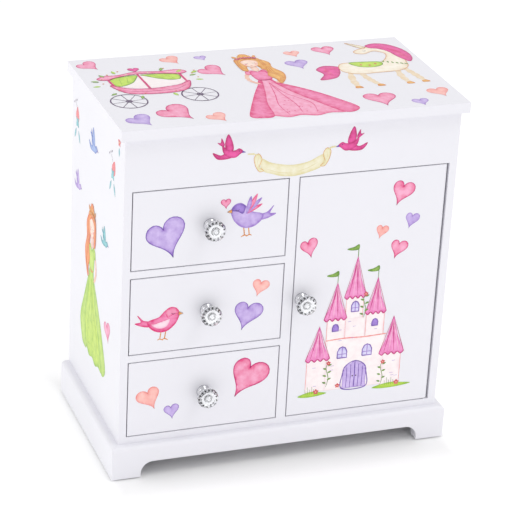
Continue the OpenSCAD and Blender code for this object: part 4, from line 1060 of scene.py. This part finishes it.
# The spring that carries her, bent over while the lid holds her down.
foot = Vector((54, 18, 223.6)) * MM
top_end = fold @ at(0, 0, -14.7)
out = (fold.to_3x3() @ Vector((0, 0, 1))).normalized()
reach = (top_end - foot).length
bend_steps, turns, turn_steps = 40, 7, 20
coil_r, wire_r = 1.85 * MM, 0.34 * MM
bends = []
for i in range(bend_steps + 1):
    t = i / bend_steps
    h = (2 * t ** 3 - 3 * t * t + 1, t ** 3 - 2 * t * t + t, -2 * t ** 3 + 3 * t * t, t ** 3 - t * t)
    bends.append(foot * h[0] + Vector((0, 0, reach)) * h[1] + top_end * h[2] + out * reach * h[3])
wire = []
side = Vector((1, 0, 0))
for i in range(turns * turn_steps + 1):
    t = i / (turns * turn_steps)
    k = min(bend_steps - 1, int(t * bend_steps))
    centre = bends[k].lerp(bends[k + 1], t * bend_steps - k)
    other = (bends[k + 1] - bends[k]).normalized().cross(side)
    a = 2 * pi * turns * t
    wire.append(centre + (side * cos(a) + other * sin(a)) * coil_r)
bm = bmesh.new()
tube(bm, wire, [wire_r] * len(wire), 10)
bmesh.ops.recalc_face_normals(bm, faces=bm.faces)
coil = make("dancer_coil", bm, spring_steel, None)
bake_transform(coil)
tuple(foot)
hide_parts("dancer_spring")


# ------------------------------------------------------------------ camera and light

floor = bpy.data.objects.new("floor", bpy.data.meshes.new("floor"))
bm = bmesh.new()
bmesh.ops.create_grid(bm, x_segments=1, y_segments=1, size=40)
bm.to_mesh(floor.data)
bm.free()
ground = Shader("paper_ground").set(Roughness=0.9, Specular_IOR_Level=0.1)
ground.paint(ground.noise(3, 2), [(0.3, (0.93, 0.93, 0.93)), (0.7, (0.95, 0.95, 0.95))])
# The floor glows by itself, which is painted light, and the glow is masked out near the box, which leaves a
# painted contact shadow there.
ground.set(Emission_Color=(1, 1, 1, 1))
split = ground.add("ShaderNodeSeparateXYZ")
ground.link(ground.place, split.inputs[0])


def reach_past(socket, middle, half, steep):
    """How far a coordinate lies outside a span, times steep."""
    size = ground.calc("ABSOLUTE", ground.calc("SUBTRACT", socket, middle))
    return ground.calc("MULTIPLY", ground.calc("SUBTRACT", size, half), steep)


# Painted contact shadow: no glow within the box's span, fading in over about 4 cm in front and behind and under
# 2 cm at the sides.
outside_painted_shadow = ground.calc("MAXIMUM", reach_past(split.outputs["X"], 0.0, 0.118, 60),
    reach_past(split.outputs["Y"], -0.01, 0.069, 24))
floor_glow_with_painted_shadow = ground.add("ShaderNodeMapRange", interpolation_type="SMOOTHSTEP", To_Max=0.17)
ground.link(outside_painted_shadow, floor_glow_with_painted_shadow.inputs["Value"])
ground.link(floor_glow_with_painted_shadow.outputs["Result"], ground.principled.inputs["Emission Strength"])
floor.data.materials.append(ground.material)
bpy.context.scene.collection.objects.link(floor)
floor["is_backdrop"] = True

world = bpy.data.worlds.new("studio")
bpy.context.scene.world = world
world.use_nodes = True
world.node_tree.nodes["Background"].inputs["Color"].default_value = (1, 1, 1, 1)
world.node_tree.nodes["Background"].inputs["Strength"].default_value = 0.84


def softbox(name, place, target, size, power):
    light = bpy.data.lights.new(name, "AREA")
    light.shape = "RECTANGLE"
    light.size, light.size_y = size
    light.energy = power
    lamp = bpy.data.objects.new(name, light)
    lamp.location = place
    lamp.rotation_mode = "QUATERNION"
    lamp.rotation_quaternion = (Vector(target) - Vector(place)).to_track_quat("-Z", "Y")
    bpy.context.scene.collection.objects.link(lamp)


softbox("key_light", (0.8, -0.7, 1.9), (0, 0, 0.12), (0.7, 0.7), 6.6)
softbox("fill_light", (-1.6, 0.1, 0.9), (0, 0, 0.12), (1.2, 1.2), 5)
softbox("low_light", (0.2, -1.6, 0.25), (0, 0, 0.05), (1.6, 0.4), 0.9)

scene = bpy.context.scene
scene.view_settings.view_transform = "Standard"
scene.view_settings.look = "None"
camera = bpy.data.objects.new("camera", bpy.data.cameras.new("camera"))
scene.collection.objects.link(camera)
scene.camera = camera
eye = (-0.5078, -1.3423, 0.7953)
forward = Vector((0.3191, 0.8435, -0.4319)).normalized()
right = forward.cross(Vector((0, 0, 1))).normalized()
up = right.cross(forward)
roll = radians(3.07)
tilted_right = right * cos(roll) + up * sin(roll)
tilted_up = up * cos(roll) - right * sin(roll)
camera.matrix_world = Matrix.Translation(eye) @ Matrix((tilted_right, tilted_up,
    -forward)).transposed().to_4x4()
camera.data.sensor_width = 36
camera.data.lens = 152
camera.data.shift_x = 0.0114
camera.data.shift_y = 0.0380
camera.data.clip_end = 30

low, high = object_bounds()
